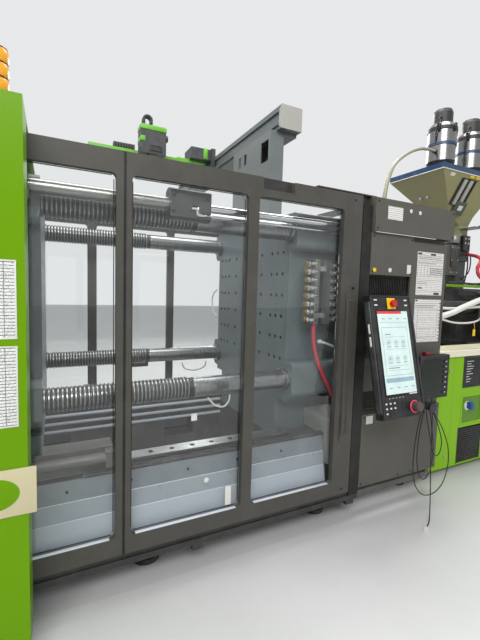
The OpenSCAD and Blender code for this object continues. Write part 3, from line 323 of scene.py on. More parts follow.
# Painted highlight colour for thin strips along edges and folds that catch the light
coat("fold_bright", (222, 228, 234), (0.2, 0.3), dust=0)
coat("cream", (238, 233, 208), (0.4, 0.55), dust=0.05)
coat("door_paint", (87, 84, 77), (0.38, 0.52), (700, 0.22), 0.12, 0.03, specular=0.35)
# Painted shade: the door frames wear a darker copy of the door paint
coat("door_paint_shaded", (76, 74, 69), (0.38, 0.52), (700, 0.22), 0.12, 0.03, specular=0.3)
coat("post_paint", (34, 34, 31), (0.42, 0.54), (700, 0.22), 0.1, 0.03, specular=0.3)
coat("black_plastic", (26, 26, 27), (0.32, 0.48), (1500, 0.3), 0.1, 0.05)
coat("rubber", (22, 22, 22), (0.55, 0.7), (900, 0.35), 0.1, 0.12)
coat("red_hose", (192, 62, 76), (0.42, 0.55), (900, 0.2), 0.2, 0.03)
coat("cable_black", (24, 24, 25), (0.4, 0.52), (2000, 0.2), 0.1, 0.05)
coat("white_plastic", (222, 221, 214), (0.35, 0.5), dust=0.05)
coat("level_box", (74, 84, 70), (0.34, 0.48))
coat("olive", (148, 144, 100), (0.3, 0.44), dust=0.03)
coat("navy", (28, 58, 96), (0.3, 0.44))
coat("robot_paint", (172, 170, 162), (0.32, 0.46), dust=0.06)
coat("console_grey", (112, 117, 117), (0.32, 0.46), dust=0.05)
coat("beam_grey", (98, 104, 106), (0.28, 0.42), dust=0.05)
coat("robot_dark", (52, 54, 55), (0.38, 0.52), dust=0.06)
coat("robot_green", (96, 168, 40), (0.3, 0.42))
coat("red_plastic", (190, 24, 22), (0.2, 0.3), drift=0.1, dust=0)
coat("red_dark", (120, 16, 24), (0.3, 0.4), drift=0.1, dust=0)
coat("yellow", (236, 196, 20), (0.3, 0.42), drift=0.1, dust=0.02)
coat("beige", (206, 196, 158), (0.34, 0.48), dust=0.04)
coat("beige_hose", (158, 154, 132), (0.35, 0.5), dust=0.06)
coat("blue", (36, 84, 150), (0.3, 0.42))
coat("knob_brown", (78, 68, 64), (0.35, 0.5), (900, 0.3), 0.1, 0.03)
coat("amber", (244, 168, 40), (0.12, 0.22), drift=0.15, dust=0)
metal("bar_steel", (132, 134, 135), (0.26, 0.32), (700, 2, 2), 0.02, 0.10)
# Painted shade: a darker copy of the bar steel for the bottoms of the tie bars' grooves
metal("groove_shade_steel", (60, 60, 58), (0.4, 0.5), (700, 2, 2), 0.02, 0.3)
metal("ground_steel", (168, 169, 170), (0.24, 0.4), (5, 260, 260), 0.15, 0.25)
metal("chrome", (204, 205, 208), (0.06, 0.12), (300, 2, 2), 0.01, 0.05)
metal("stainless", (140, 140, 136), (0.28, 0.36), (2, 2, 300), 0.02, 0.08)
metal("loader_steel", (132, 133, 131), (0.22, 0.30), (60, 60, 2), 0.0, 0.3)
metal("zinc", (186, 186, 182), (0.28, 0.42), (90, 90, 90), 0.1, 0.12)
metal("brass", (196, 158, 84), (0.22, 0.36), (60, 60, 300), 0.1, 0.12)
metal("black_steel", (62, 60, 58), (0.34, 0.5), (120, 120, 120), 0.15, 0.2)
clear_sheet("pane", (0.97, 0.985, 0.98, 1))
for name, colour, strength in (
        ("screen_page", (206, 226, 222), 0.22),
        ("screen_lines", (120, 140, 146), 0.12),
        ("screen_band", (146, 174, 188), 0.18),
        ("screen_red", (206, 58, 56), 0.4),
        ("ring_light", (214, 66, 96), 0.5),
        ("screen_green", (176, 220, 200), 0.4)):
    glowing(name, colour, strength)
glowing("screen_dark", (8, 26, 12), 0.05, 0.2)
coat("rule_grey", (118, 118, 120), drift=0.1, dust=0.02)
coat("dark_glass", (12, 13, 14), (0.05, 0.09), (50, 0.0), 0.0, 0.0)
printed("chart", (232, 232, 228), (90, 92, 96), 0.0118, 0.036, at(-1470, -1030, 1299))
printed("card", (234, 231, 226), (158, 156, 154), 0.0125, 0, at(860, -805, 1530))

NODE_FINISH = {
    "base_dark": "clamp_base",
    "machine_grey": "injection_base clamp_cylinders guard_frame panel_arm platen_shoes "
    "lock_housings ejector_housing screw_drive",
    "rubber": "levelling_pads",
    "ground_steel": "guide_rails lock_nuts_upper lock_nuts_lower ejector_plate barrel "
    "injection_screw",
    "platen_paint": "fixed_platen moving_platen",
    "bar_steel": "tie_bars",
    "chrome": "travel_rods carriage_rods",
    "zinc": "cooling_manifold",
    "red_hose": "hoses",
    "pale_paint": "bed_aprons",
    "box_grey": "corner_box",
    "lime": "clamp_cover_front clamp_cover_rear clamp_cover_end",
    "track_dark": "door_tracks",
    "post_paint": "door_posts",
    "door_paint": "hood_cover purge_covers rear_purge_cover purge_guard",
    "black_plastic": "vent_grille aux_display panel_housing",
    "lime_cabinet": "cabinet_panels cabinet_door",
    "cream": "worktop",
    "console_grey": "robot_console",
    "beam_grey": "robot_beam",
    "stainless": "travel_cylinders heater_bands slide_gate",
    # door frames: the door paint with painted shade
    "door_paint_shaded": "door_frame_left door_frame_right rear_door_frame",
    "pane": "door_panes rear_door_panes",
    "knob_brown": "panel_knob",
    "red_plastic": "estop_button",
    "frame_black": "carriage_frame",
    "olive": "hopper",
    "loader_steel": "loaders",
    "robot_dark": "robot_carriage robot_arm",
    "robot_green": "robot_kick_axis",
    "white_plastic": "cable_plug",
}


def alone():
    bpy.ops.object.select_all(action="DESELECT")


def pick(*pieces):
    """Selects only these pieces, with the first one active."""
    alone()
    for piece in pieces:
        piece.select_set(True)
    bpy.context.view_layer.objects.active = pieces[0]


# Faces that meet at less than this angle are shown as one round face
CAST_ANGLE = math.radians(18)
HOSE_ANGLE = math.radians(60)


def dress_nodes():
    """Gives each CAD node its finish; round shapes are shown round, with their sharp edges kept."""
    for finish, names in NODE_FINISH.items():
        for name in names.split():
            shown = nodes[name]
            if not shown.material_slots:
                shown.data.materials.append(F[finish])
            for place in shown.material_slots:
                place.material = F[finish]
            pick(shown)
            angle = HOSE_ANGLE if name == "hoses" else CAST_ANGLE
            bpy.ops.object.shade_smooth_by_angle(angle=angle)


def tone(node, finish, inside):
    """Gives the faces of a CAD node that lie in a region, in millimetres, a second finish."""
    shown = nodes[node]
    shown.data.materials.append(F[finish])
    last = len(shown.data.materials) - 1
    for face in shown.data.polygons:
        x, y, z = (shown.matrix_world @ face.center) / MM
        if inside(x + MIDDLE_X, y + MIDDLE_Y, z, face.normal):
            face.material_index = last


# The tie bars' places, and a radius just over the root of their ridges
BAR_SIDE = 555
BAR_LOW, BAR_HIGH = 929, 1875
RIDGE_ROOT = 56.8
WINDOW_SIDE = 530


def in_groove(x, y, z, n):
    rise = min(abs(z - BAR_LOW), abs(z - BAR_HIGH))
    return abs(n.x) < 0.5 and math.hypot(abs(y) - BAR_SIDE, rise) < RIDGE_ROOT


def shaded_window_walls(low, high):
    """The walls of a platen's windows, between two depths: they get black as painted shade."""
    return lambda x, y, z, n: low < x < high and abs(y) < WINDOW_SIDE and abs(n.x) < 0.4


dress_nodes()
tone("hoses", "rubber", lambda x, y, z, n: y < -600 and z < 620)
tone("hoses", "pale_paint", lambda x, y, z, n: y > -600)
tone("travel_cylinders", "robot_dark", lambda x, y, z, n: x > -835)
# Painted shade and painted reflection: the apron's middle face a little darker, its upper face
# darker still
tone("bed_aprons", "pale_middle_shaded", lambda x, y, z, n: 372 < z <= 462)
tone("bed_aprons", "pale_upper_shaded", lambda x, y, z, n: z > 462)
tone("heater_bands", "frame_black", lambda x, y, z, n: abs(y) > 180)
tone("hopper", "robot_dark", lambda x, y, z, n: z < 2062)
# Painted shade: the walls of the platens' windows in black
tone("fixed_platen", "frame_black", shaded_window_walls(3, 90))
tone("moving_platen", "frame_black", shaded_window_walls(-1490, -1403))
tone("robot_beam", "robot_paint", lambda x, y, z, n: y < -60)
# Painted shade in the bottoms of the tie bars' grooves
tone("tie_bars", "groove_shade_steel", in_groove)
tone("hopper", "navy", lambda x, y, z, n: z > 2650 and abs(n.z) < 0.5 or z > 2699)
tone("loaders", "frame_black", lambda x, y, z, n: z > 3150 or 3078 < z < 3114 or z < 2800)
tone("loaders", "navy", lambda x, y, z, n: 2938 < z < 2966)


# ---- workshop: every new piece is modelled with these ----
SMOOTH_ANGLE = math.radians(40)
TURN = {"x": (0, math.pi / 2, 0), "y": (math.pi / 2, 0, 0), "z": (0, 0, 0)}
FRONT = (0, -1, 0)
# How nearly a face looks along a direction, lies at the outermost place, or an edge lies level
FACING, NEAR, LEVEL = 0.99, 1e-5, 1e-6


def edit(mode):
    bpy.ops.object.mode_set(mode=mode)


def mark(test, edges=False):
    """In edit mode, selects the faces (or edges) whose centre passes the test."""
    form = bmesh.from_edit_mesh(bpy.context.object.data)
    bpy.ops.mesh.select_all(action="DESELECT")
    for item in (form.edges if edges else form.faces):
        middle = (item.verts[0].co + item.verts[1].co) / 2 if edges else item.calc_center_median()
        if test(item, middle):
            item.select_set(True)
    bmesh.update_edit_mesh(bpy.context.object.data)


def settle():
    bpy.ops.object.transform_apply(location=True, rotation=True, scale=True)
    return bpy.context.object


def slab(x0, x1, y0, y1, z0, z1, edge=2.0, steps=2):
    """A squared piece with softened edges, between two corners in millimetres."""
    alone()
    middle = at((x0 + x1) / 2, (y0 + y1) / 2, (z0 + z1) / 2)
    bpy.ops.mesh.primitive_cube_add(size=1, location=middle)
    bpy.context.object.scale = ((x1 - x0) * MM, (y1 - y0) * MM, (z1 - z0) * MM)
    piece = settle()
    edit("EDIT")
    bpy.ops.mesh.bevel(offset=edge * MM, segments=steps, affect="EDGES")
    edit("OBJECT")
    return piece


def push(piece, inset, depth, side=FRONT):
    """Insets the face that looks along side and moves it in (or out) by depth, in millimetres."""
    pick(piece)
    axis = Vector(side)
    edit("EDIT")
    reach = max(v.co.dot(axis) for v in piece.data.vertices) - NEAR
    mark(lambda face, middle: face.normal.dot(axis) > FACING and middle.dot(axis) > reach)
    bpy.ops.mesh.inset(thickness=inset * MM, use_even_offset=True)
    bpy.ops.mesh.extrude_region_move(TRANSFORM_OT_translate={"value": axis * depth * MM})
    edit("OBJECT")
    return piece


def drum(axis, start, end, across, radius, sides=32, edge=1.5):
    """A turned piece along an axis: across holds the two other coordinates in order."""
    way = "xyz".index(axis)
    spot = list(across)
    spot.insert(way, (start + end) / 2)
    alone()
    bpy.ops.mesh.primitive_cylinder_add(vertices=sides, radius=radius * MM,
                                        depth=abs(end - start) * MM, location=at(*spot))
    bpy.context.object.rotation_euler = TURN[axis]
    piece = settle()
    edit("EDIT")
    mark(lambda rim, middle: abs(rim.verts[0].co[way] - rim.verts[1].co[way]) < LEVEL, True)
    bpy.ops.mesh.bevel(offset=edge * MM, segments=2, affect="EDGES")
    edit("OBJECT")
    return piece


def ring(x, y, z, radius, thick, sides, section=12):
    """A round rim that looks at the operator."""
    alone()
    bpy.ops.mesh.primitive_torus_add(location=at(x, y, z), rotation=TURN["y"],
                                     major_radius=radius * MM, minor_radius=thick * MM,
                                     major_segments=sides, minor_segments=section)
    return settle()


def listed(parts):
    return parts if isinstance(parts, list) else [parts]


def changed(parts, pivot, change):
    """Turns or stretches finished pieces about a point, given in millimetres."""
    spot = at(*pivot)
    matrix = Matrix.Translation(spot) @ change @ Matrix.Translation(-spot)
    for part in listed(parts):
        part.data.transform(matrix)
    return parts


def fit(name, parts, finish, slot, body="machine"):
    """Joins the pieces into one named piece with a finish; it rides on a body, if one is named."""
    parts = listed(parts)
    pick(*parts)
    if len(parts) > 1:
        bpy.ops.object.join()
    piece = bpy.context.object
    bpy.ops.object.shade_smooth_by_angle(angle=SMOOTH_ANGLE)
    piece.name = name
    piece.data.name = name
    piece.data.materials.clear()
    piece.data.materials.append(F[finish])
    if body:
        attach(piece, body)
    return piece


def between(points, steps):
    """Points along a smooth curve through a short list of points."""
    out = []
    last = len(points) - 1
    for i in range(last):
        a, b = points[max(i - 1, 0)], points[i]
        c, d = points[i + 1], points[min(i + 2, last)]
        for k in range(steps):
            t = k / steps
            out.append([0.5 * (2 * b[n] + (c[n] - a[n]) * t
                               + (2 * a[n] - 5 * b[n] + 4 * c[n] - d[n]) * t * t
                               + (3 * b[n] - a[n] - 3 * c[n] + d[n]) * t ** 3) for n in range(3)])
    out.append(list(points[last]))
    return out


def line(name, points, radius, smooth, sides, ripple=0.0):
    """A round curve through points in millimetres; ripple makes it a corrugated one."""
    data = bpy.data.curves.new(name, "CURVE")
    data.dimensions = "3D"
    route = between(points, smooth)
    spline = data.splines.new("POLY")
    spline.points.add(len(route) - 1)
    for k, (point, place) in enumerate(zip(spline.points, route)):
        point.co = (*at(*place), 1)
        point.radius = 1 - ripple * (k % 2)
    data.bevel_depth = radius * MM
    data.bevel_resolution = sides
    data.use_fill_caps = True
    piece = bpy.data.objects.new(name, data)
    bpy.context.collection.objects.link(piece)
    return piece, [at(*place) for place in route]


def hose(points, radius, smooth=6, sides=3, ripple=0.0):
    """A hose as a mesh, ready to be joined to its fittings."""
    pick(line("hose", points, radius, smooth, sides, ripple)[0])
    bpy.ops.object.convert(target="MESH")
    return bpy.context.object


def hoses(*runs):
    return [hose(*run) for run in runs]


def socket_screw(x, seat, z, size):
    """A socket-head screw that stands out of a face towards the operator."""
    return push(drum("y", seat, seat - size * 0.9, (x, z), size, 20, 0.8), size * 0.45, -size * 0.5)


def screws(seat, size, across, up):
    return [socket_screw(x, seat, z, size) for x in across for z in up]


# What a fitting is made of: its finish here and the library's slot for it
WHITE = ("white_plastic", "plug_plastic")
BLACK = ("black_plastic", "black_plastic")
DARK = ("frame_black", "black_plastic")
SCREW = ("black_steel", "bright_steel")
ZINC = ("zinc", "bright_steel")
CHROME = ("chrome", "bright_steel")
YELLOW = ("yellow", "cream_top")
GREEN = ("robot_green", "robot_green")
POST = ("post_paint", "post_paint")
GLASS = ("dark_glass", "black_plastic")
CARD = ("card", "plug_plastic")
# A painted highlight, on the library's pale paint slot
FOLD_HIGHLIGHT = ("fold_bright", "pale_paint")
DARK_HOSE = ("rubber", "cable_rubber")
WHITE_HOSE = ("white_plastic", "cable_rubber")
CARRIAGE = "injection_carriage"


# ---- the loose cable ----
CABLE = [
    (1060, -862, 774.6), (1060, -862, 730), (1100, -870, 640), (1165, -885, 540), (1218, -900, 400),
    (1224, -906, 270), (1172, -911, 150), (1075, -914, 92), (960, -914, 104), (880, -911, 182),
    (850, -906, 300), (862, -897, 450), (898, -887, 600), (932, -882, 700), (945, -880, 744),
    (975, -880, 762), (1005, -880, 744), (1016, -885, 680), (1040, -895, 540), (1050, -904, 400),
    (1022, -911, 270), (960, -914, 218), (902, -914, 262), (876, -911, 380), (888, -905, 520),
    (920, -899, 660), (944, -895, 740), (975, -894, 762), (1005, -895, 744), (1030, -899, 684),
    (1084, -906, 580), (1122, -912, 470), (1104, -918, 392), (1056, -921, 372), (1014, -919, 430),
    (984, -915, 540), (950, -911, 660), (944, -909, 740), (975, -908, 762), (1004, -910, 744),
    (1000, -915, 690), (985, -932, 520), (962, -956, 330), (935, -985, 170), (905, -1012, 66),
    (872, -1036, 12), (832, -1058, 5), (790, -1080, 8)]
CABLE_WIDE = 0.007
cable, cable_way = line("display_cable", CABLE, CABLE_WIDE / MM / 2, 8, 4)
cable.data.materials.append(F["cable_black"])
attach(cable, "machine")
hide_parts("hanging_cable")


# ---- floor ----

def lay_floor():
    alone()
    bpy.ops.mesh.primitive_plane_add(size=60, location=(0, 0, 0))
    floor = bpy.context.object
    floor.name = "floor"
    tree, shader = blank_material("pale_floor")
    worn = noise(tree, 1.1, 6, 0.6)
    shade = blend_colour(tree, span(tree, worn), (0.56, 0.56, 0.55, 1), (0.62, 0.62, 0.61, 1))
    feed(tree, shader, {"Base Color": shade, "Roughness": span(tree, worn, 0.45, 0.6)})
    floor.data.materials.append(F["pale_floor"])


lay_floor()


# ---- guard doors ----
PANES = ((-1692, 598), (-1024, 600), (-361, 585))
DOOR_FACE = -811
TRACK_FACE = -805


def window_seals():
    near, far = -777, -772.6
    seals = []
    for left, wide in PANES:
        for z in (294, 1994):
            seals.append(slab(left + 16, left + wide - 16, near, far, z, z + 4, 1, 1))
        for x in (left + 5, left + wide - 9):
            seals.append(slab(x, x + 4, near, far, 310, 1978, 1, 1))
    fit("door_window_seals", seals, "rubber", "pad_rubber", "front_door")


def window_bead_highlights():
    """Painted highlight: a near-white strip on the lower edge of each pane's opening, where it
    catches the light.
    """
    beads = [slab(left + 26, left + wide - 26, -801, -780, 287, 289.6, 0.8)
             for left, wide in PANES]
    fit("door_window_bead_highlights", beads, *FOLD_HIGHLIGHT, "front_door")


def apron_fittings():
    """The screws along the apron's upper edge, and painted highlights along its folds."""
    fit("apron_screws", screws(-697, 7, range(-1600, 200, 300), (516,)), *SCREW)
    # Painted highlights: near-white strips along the apron's two folds
    folds = [slab(-1700, 218, y, y + 5, z, z + 3, 0.8, 1)
             for y, z in ((-709.6, 467), (-719.6, 378))]
    fit("apron_fold_highlights", folds, *FOLD_HIGHLIGHT)


def door_fittings():
    heads = screws(DOOR_FACE, 7, (312,), (1530, 1230, 1058, 768))
    heads += screws(TRACK_FACE, 5, (-1725, 305), (236, 2064))
    fit("door_screws", heads, *SCREW, "front_door")
    grip = push(slab(268, 316, -819, DOOR_FACE, 600, 1460, 3, 3), 9, -4)
    # The grip strip wears the door paint's copy with painted shade
    fit("door_grip_strip", grip, "door_paint_shaded", "door_paint", "front_door")
    rollers = []
    for x in (-1650, -1150, -950, 200):
        rollers.append(drum("y", -764, -752, (x, 214), 14, 24))
        rollers.append(slab(x - 20, x + 20, -764.5, -760, 214, 280, 1.5))
    fit("door_rollers", rollers, *SCREW, "front_door")
    fit("door_meeting_strip", slab(-1062, -1050, -806.5, -804.5, 202, 2098, 0.4, 1),
        *POST, "front_door")


window_seals()
window_bead_highlights()
apron_fittings()
door_fittings()


# ---- green cover at the clamp end ----
COVER_FACE = -1030
HOLLOW = (-1560, 726)
HOLLOW_STRETCH = Matrix.Diagonal((1.5, 1, 1, 1))


def cover_front_fittings():
    """Two charts in clear pockets, and a plate with a hollow for the hand."""
    papers, rails = [], []
    x0, x1 = -1760, -1470
    for z0, z1 in ((1299, 1575), (976, 1268)):
        papers.append(slab(x0, x1, COVER_FACE - 1.6, COVER_FACE, z0, z1, 0.5, 1))
        for z in (z0, z1):
            rails.append(slab(x0 - 4, x1 + 4, COVER_FACE - 3, COVER_FACE, z - 3, z + 3, 1))
        for x in (x0, x1):
            rails.append(slab(x - 3, x + 3, COVER_FACE - 3, COVER_FACE, z0, z1, 1))
    fit("cover_charts", papers, "chart", "plug_plastic")
    fit("cover_chart_rails", rails, *WHITE)
    plate = slab(-1760, -1412, COVER_FACE - 6, COVER_FACE - 0.2, 636, 816)
    fit("cover_hand_plate", plate, "beige", "cream_top")
    hollow = drum("y", COVER_FACE - 7.5, COVER_FACE - 5.5, HOLLOW, 62, 40, 0.5)
    changed(hollow, (HOLLOW[0], 0, 0), HOLLOW_STRETCH)
    fit("cover_hand_hollow", hollow, "lime", "lime_paint")


cover_front_fittings()


# ---- operator panel ----
PANEL = (510, -950, 1118)
LEAN = Matrix.Rotation(math.radians(-13), 4, "X")
PAGE = 1.7
KNOB_RIBS = 18


def fit_panel(name, parts, finish, slot, body="operator_panel"):
    """Fits pieces that were made upright, leaned back with the panel about its middle."""
    fit(name, changed(parts, PANEL, LEAN), finish, slot, body)


def panel_slab(x0, x1, z0, z1, low, high, edge=1.0, steps=2):
    """A slab on the panel: x and z from the panel's middle, low and high above its face."""
    x, y, z = PANEL
    face = y - 58
    return slab(x + x0, x + x1, face - high, face - low, z + z0, z + z1, edge, steps)


def page_slab(x0, x1, z0, z1, low=PAGE, high=2.0):
    return panel_slab(x0, x1, z0, z1, low, high, 0.1, 1)


def panel_screen():
    fit_panel("panel_glass", panel_slab(-138, 138, -240, 279, -1, 1.2, 0.4), *GLASS)
    for name, box, finish, slot in (
            ("panel_page", (-128, 128, -226, 254, 1.2, PAGE), "screen_page", "plug_plastic"),
            ("panel_page_red", (-128, 76, 254, 270, 1.2, 1.9), "screen_red", "red_plastic"),
            ("panel_page_green", (76, 128, 254, 270, 1.2, 1.9), "screen_green", "plug_plastic"),
            ("panel_page_band", (-116, 116, -158, -132), "screen_band", "plug_plastic")):
        fit_panel(name, page_slab(*box), finish, slot)
    rules = [page_slab(*rule) for rule in (
        (-108, 108, 170, 172), (-108, 108, -118, -116), (-108, -106, -118, 172),
        (106, 108, -118, 172), (-120, 120, 200, 201.5))]
    rules += [page_slab(-84, 84, z, z + 1.5) for z in (112, 38, -62, -88)]
    rules += [page_slab(-84, wide, z, z + 5) for wide, z in ((-40, 126), (10, -76))]
    rules += [page_slab(x, x + 24, z, z + 4) for x in range(-96, 152, 62) for z in (222, -192)]
    x, y, z = PANEL
    for row in (78, -18):
        for column in (-62, 0, 62):
            rules.append(ring(x + column, y - 59.9, z + row, 15, 0.9, 28, 6))
            rules.append(page_slab(column - 5, column + 5, row - 5, row + 5))
            rules.append(page_slab(column - 18, column + 18, row - 27, row - 23))
    fit_panel("panel_page_lines", rules, "screen_lines", "plug_plastic")


def panel_controls():
    rim = [panel_slab(x, x + 8, -362, 362, -2, 5, 3, 3) for x in (-172, 164)]
    rim += [panel_slab(-164, 164, z, z + 8, -2, 4, 2.5, 3) for z in (358, -366)]
    fit_panel("panel_rim", rim, *BLACK)
    grips = [panel_slab(x - 6, x + 6, -330, 330, -40, 1, 5, 4) for x in (-178, 178)]
    fit_panel("panel_grips", grips, "robot_dark", "black_plastic")
    # Two white strips on the left grip
    white_strips = [panel_slab(-187, -181, z, z + 58, -26, -14, 2.5, 3) for z in (60, 136)]
    fit_panel("panel_side_white_strips", white_strips, *WHITE)
    fit_panel("panel_stop_plate", push(panel_slab(-34, 34, 284, 352, -0.5, 3, 1.2), 3, 1), *YELLOW)
    keys = [panel_slab(x, x + 22, z, z + 20, -0.5, 2.5, 2, 3)
            for x in range(-150, 20, 34) for z in (-286, -314, -342)]
    fit_panel("panel_keys", keys, *BLACK)
    signs = [panel_slab(x, x + 14, z, z + 9, 2.5, 2.9, 0.2, 1)
             for x, z in ((-148, -281), (-148, -309), (-148, -337), (-114, -281), (-80, -281),
                          (-114, -309), (-80, -309))]
    signs += [page_slab(x, x + 8, -250, -246, 1.2, 1.6) for x in range(-112, 28, 28)]
    # Painted highlight: a white strip below the lower right of the screen
    signs += [page_slab(60, 128, -236, -229, 1.2, 1.6)]
    signs += [panel_slab(x - 13, x + 13, z, z + 8, -0.5, 0.5, 0.2, 1)
              for x in (-128, 128) for z in (336, 304)]
    fit_panel("panel_signs_and_highlight", signs, *WHITE)


def panel_knob():
    x, y, z = PANEL[0] + 92.5, PANEL[1], PANEL[2] - 313
    fit_panel("panel_knob_ring", ring(x, y - 59.5, z, 34, 3.2, 48), "ring_light", "red_plastic")
    ribs = []
    for k in range(KNOB_RIBS):
        angle = math.tau * k / KNOB_RIBS
        side, rise = 28 * math.cos(angle), 28 * math.sin(angle)
        ribs.append(slab(x - 0.9 + side, x + 0.9 + side, y - 98, y - 62, z - 1 + rise, z + 1 + rise,
                         0.6, 1))
    fit_panel("knob_ribs", ribs, "knob_brown", "black_plastic", "mode_knob")


panel_screen()
panel_controls()
panel_knob()


# ---- covers beside the nozzle ----
HOOD_FACE = -830
CARD_FACE = -791


def card_bar(x0, x1, z0, z1):
    return slab(x0, x1, CARD_FACE - 0.7, CARD_FACE + 0.1, z0, z1, 0.1, 1)


def print_on_cards():
    """Blank labels and ruled lines of the two forms on the sliding guard."""
    labels = [card_bar(*box) for box in (
        (909, 948, 1781, 1793), (1039, 1094, 1781, 1793), (1094, 1150, 1504, 1520),
        (909, 930, 1456, 1466), (925, 966, 1546, 1554))]
    labels += [card_bar(1166, 1174, z, z + 8) for z in range(1180, 1460, 26)]
    fit("card_labels", labels, *BLACK, "nozzle_guard")
    rules = [card_bar(912, 1172, z, z + 1.6)
             for z in (1774, 1736, 1708, 1632, 1604, 1528, 1440, 1396)]
    rules += [card_bar(912, wide, z, z + 3.4) for wide, z in (
        (1150, 1762), (1164, 1750), (1104, 1722), (1010, 1590), (1018, 1578), (1130, 1424),
        (1098, 1412))]
    rules += [card_bar(x, x + 1.6, 1632, 1708) for x in (912, 946, 980, 1014, 1040, 1170)]
    rules += [card_bar(1040, 1170, z, z + 5) for z in (1644, 1658, 1672, 1686)]
    rules += [card_bar(x, x + 1.6, 1200, 1396) for x in (940, 1146)]
    rules += [card_bar(940, 1146, z, z + 1.6) for z in (1200, 1262, 1330)]
    fit("card_rules", rules, "rule_grey", "pad_rubber", "nozzle_guard")


def label_on_cover(x0, x1, z0, z1):
    return slab(x0, x1, TRACK_FACE - 1, TRACK_FACE, z0, z1, 0.3, 1)


def nozzle_cover_fittings():
    fit("hood_label", slab(556, 690, HOOD_FACE - 1.6, HOOD_FACE, 1975, 2058, 0.4, 1), *CARD)
    dots = [drum("y", HOOD_FACE - 2, HOOD_FACE, spot, 13, 24, 0.8)
            for spot in ((765, 2047), (852, 2045))]
    dots += [drum("y", TRACK_FACE - 1, TRACK_FACE, (630, 1657), 15, 24, 0.3),
             label_on_cover(788, 826, 1640, 1700), label_on_cover(492, 552, 636, 690)]
    fit("cover_white_labels", dots, *WHITE)
    cards = [slab(905, 1180, CARD_FACE, CARD_FACE + 2, z0, z1, 0.5, 1)
             for z0, z1 in ((1500, 1800), (1165, 1470))]
    fit("guard_cards", cards, *CARD, "nozzle_guard")
    print_on_cards()
    heads = screws(TRACK_FACE, 5, (474, 822), (1640, 1866, 230, 684))
    heads += screws(TRACK_FACE, 5, (950, 1200), (230, 684))
    heads += screws(HOOD_FACE, 5, (474, 1200), (1912, 2080))
    fit("cover_screws", heads, *SCREW)
    fit("cover_blank_plates", label_on_cover(478, 506, 1640, 1664), *YELLOW)
    slats = [slab(470, 834, -771, -765, z, z + 8, 1.5) for z in range(730, 847, 13)]
    fit("lower_slats", slats, *POST)


nozzle_cover_fittings()


# ---- small display ----

def small_display():
    bezel = push(slab(885, 1192, -884, -876, 775, 1082, 4, 3), 8, -2)
    fit("display_bezel", bezel, *BLACK)
    fit("display_face", slab(905, 1112, -884.5, -881, 806, 1056, 0.5, 1),
        "screen_dark", "black_plastic")
    rows = range(800, 1059, 37)
    fit("display_keys", [slab(1128, 1178, -887, -881, z, z + 26, 3) for z in rows], *BLACK)
    fit("display_signs", [slab(1146, 1158, -887.4, -886.9, z + 10, z + 16, 0.1, 1) for z in rows],
        *WHITE)
    box = push(slab(952, 1000, -872, -836, 1082, 1106, 4, 3), 4, 1, side=(0, 0, 1))
    fit("display_red_box", box, "red_dark", "red_plastic")


small_display()


# ---- injection cabinets ----

def cabinet_fittings():
    face = -630
    frame_parts = push(slab(1764, 2020, face - 4, face + 5, 720, 995, 3), 14, -3)
    fit("cabinet_display_frame", frame_parts, *BLACK)
    fit("cabinet_display_glass", slab(1786, 1998, face - 2.4, face - 1, 742, 973, 0.4, 1), *GLASS)
    texts = [slab(1804, 1804 + wide, face - 2.8, face - 2.3, 946 - 22 * k, 951 - 22 * k, 0.1, 1)
             for k, wide in enumerate((92, 60, 96, 84, 58, 90, 40, 70, 52))]
    fit("cabinet_display_rows", texts, *WHITE)
    recess = push(slab(1764, 2060, face - 3, face + 6, 398, 657, 3), 14, -7)
    fit("cabinet_socket_recess", recess, "lime_cabinet", "lime_paint")
    # Painted shade on the socket recess's back wall
    fit("cabinet_socket_back", slab(1782, 2042, face + 3.4, face + 4.4, 416, 639, 0.3, 1),
        "lime_painted_shade", "lime_paint")
    socket = (1850, 560)
    collar = [drum("y", face - 6, face + 4.6, socket, 40, 36, 3),
              drum("y", face - 12, face - 6, socket, 30, 36, 2)]
    fit("cabinet_socket_ring", collar, *WHITE)
    plug = [drum("y", face - 52, face - 11, socket, 25, 32, 3),
            slab(1826, 1874, face - 40, face - 11, 575, 598, 3)]
    fit("cabinet_socket_plug", plug, "blue", "plug_plastic")
    vents = [slab(1752, 2066, face - 1, face + 5, z, z + 14) for z in range(66, 366, 20)]
    vents += [slab(x, x + 8, face - 2, face + 6, 56, 378) for x in (1744, 2066)]
    fit("cabinet_vent", vents, *BLACK)
    locks = [drum("y", face - 7, face, (x, z), 14, 24) for x in (1290, 1590, 2380)
             for z in (150, 880)]
    fit("cabinet_locks", locks, *ZINC)


cabinet_fittings()


# ---- water manifold on the fixed platen ----
VALVES = 8
VALVE_PITCH = 50
FIRST_VALVE = 1324
VALVE_MIDDLE = (-655, FIRST_VALVE)


def at_each_valve(piece):
    """A finished piece at the first valve and its copies at the others, each with its own mesh."""
    made = [piece]
    for k in range(1, VALVES):
        twin = piece.copy()
        twin.data = piece.data.copy()
        bpy.context.collection.objects.link(twin)
        twin.data.transform(Matrix.Translation(Vector((0, 0, k * VALVE_PITCH)) * MM))
        made.append(twin)
    return made


def manifold_fittings():
    balls, unions, levers = [], [], []
    for x, s in ((142, -1), (232, 1)):
        middle = x + s * 48
        balls += at_each_valve(drum("x", x + s * 30, x + s * 66, VALVE_MIDDLE, 20, 28, 8))
        balls += at_each_valve(drum("y", -702, -668, (middle, FIRST_VALVE), 12, 20, 2))
        unions += at_each_valve(drum("x", x + s * 67, x + s * 84, VALVE_MIDDLE, 15, 6, 1.5))
        unions += at_each_valve(socket_screw(middle, -707.5, FIRST_VALVE, 6))
        levers += at_each_valve(slab(middle - 24, middle + 24, -712, -706, FIRST_VALVE - 7,
                                     FIRST_VALVE + 7, 2.5, 3))
    fit("manifold_balls", balls, *CHROME)
    fit("manifold_unions", unions, "brass", "bright_steel")
    fit("manifold_levers", levers, *CHROME)


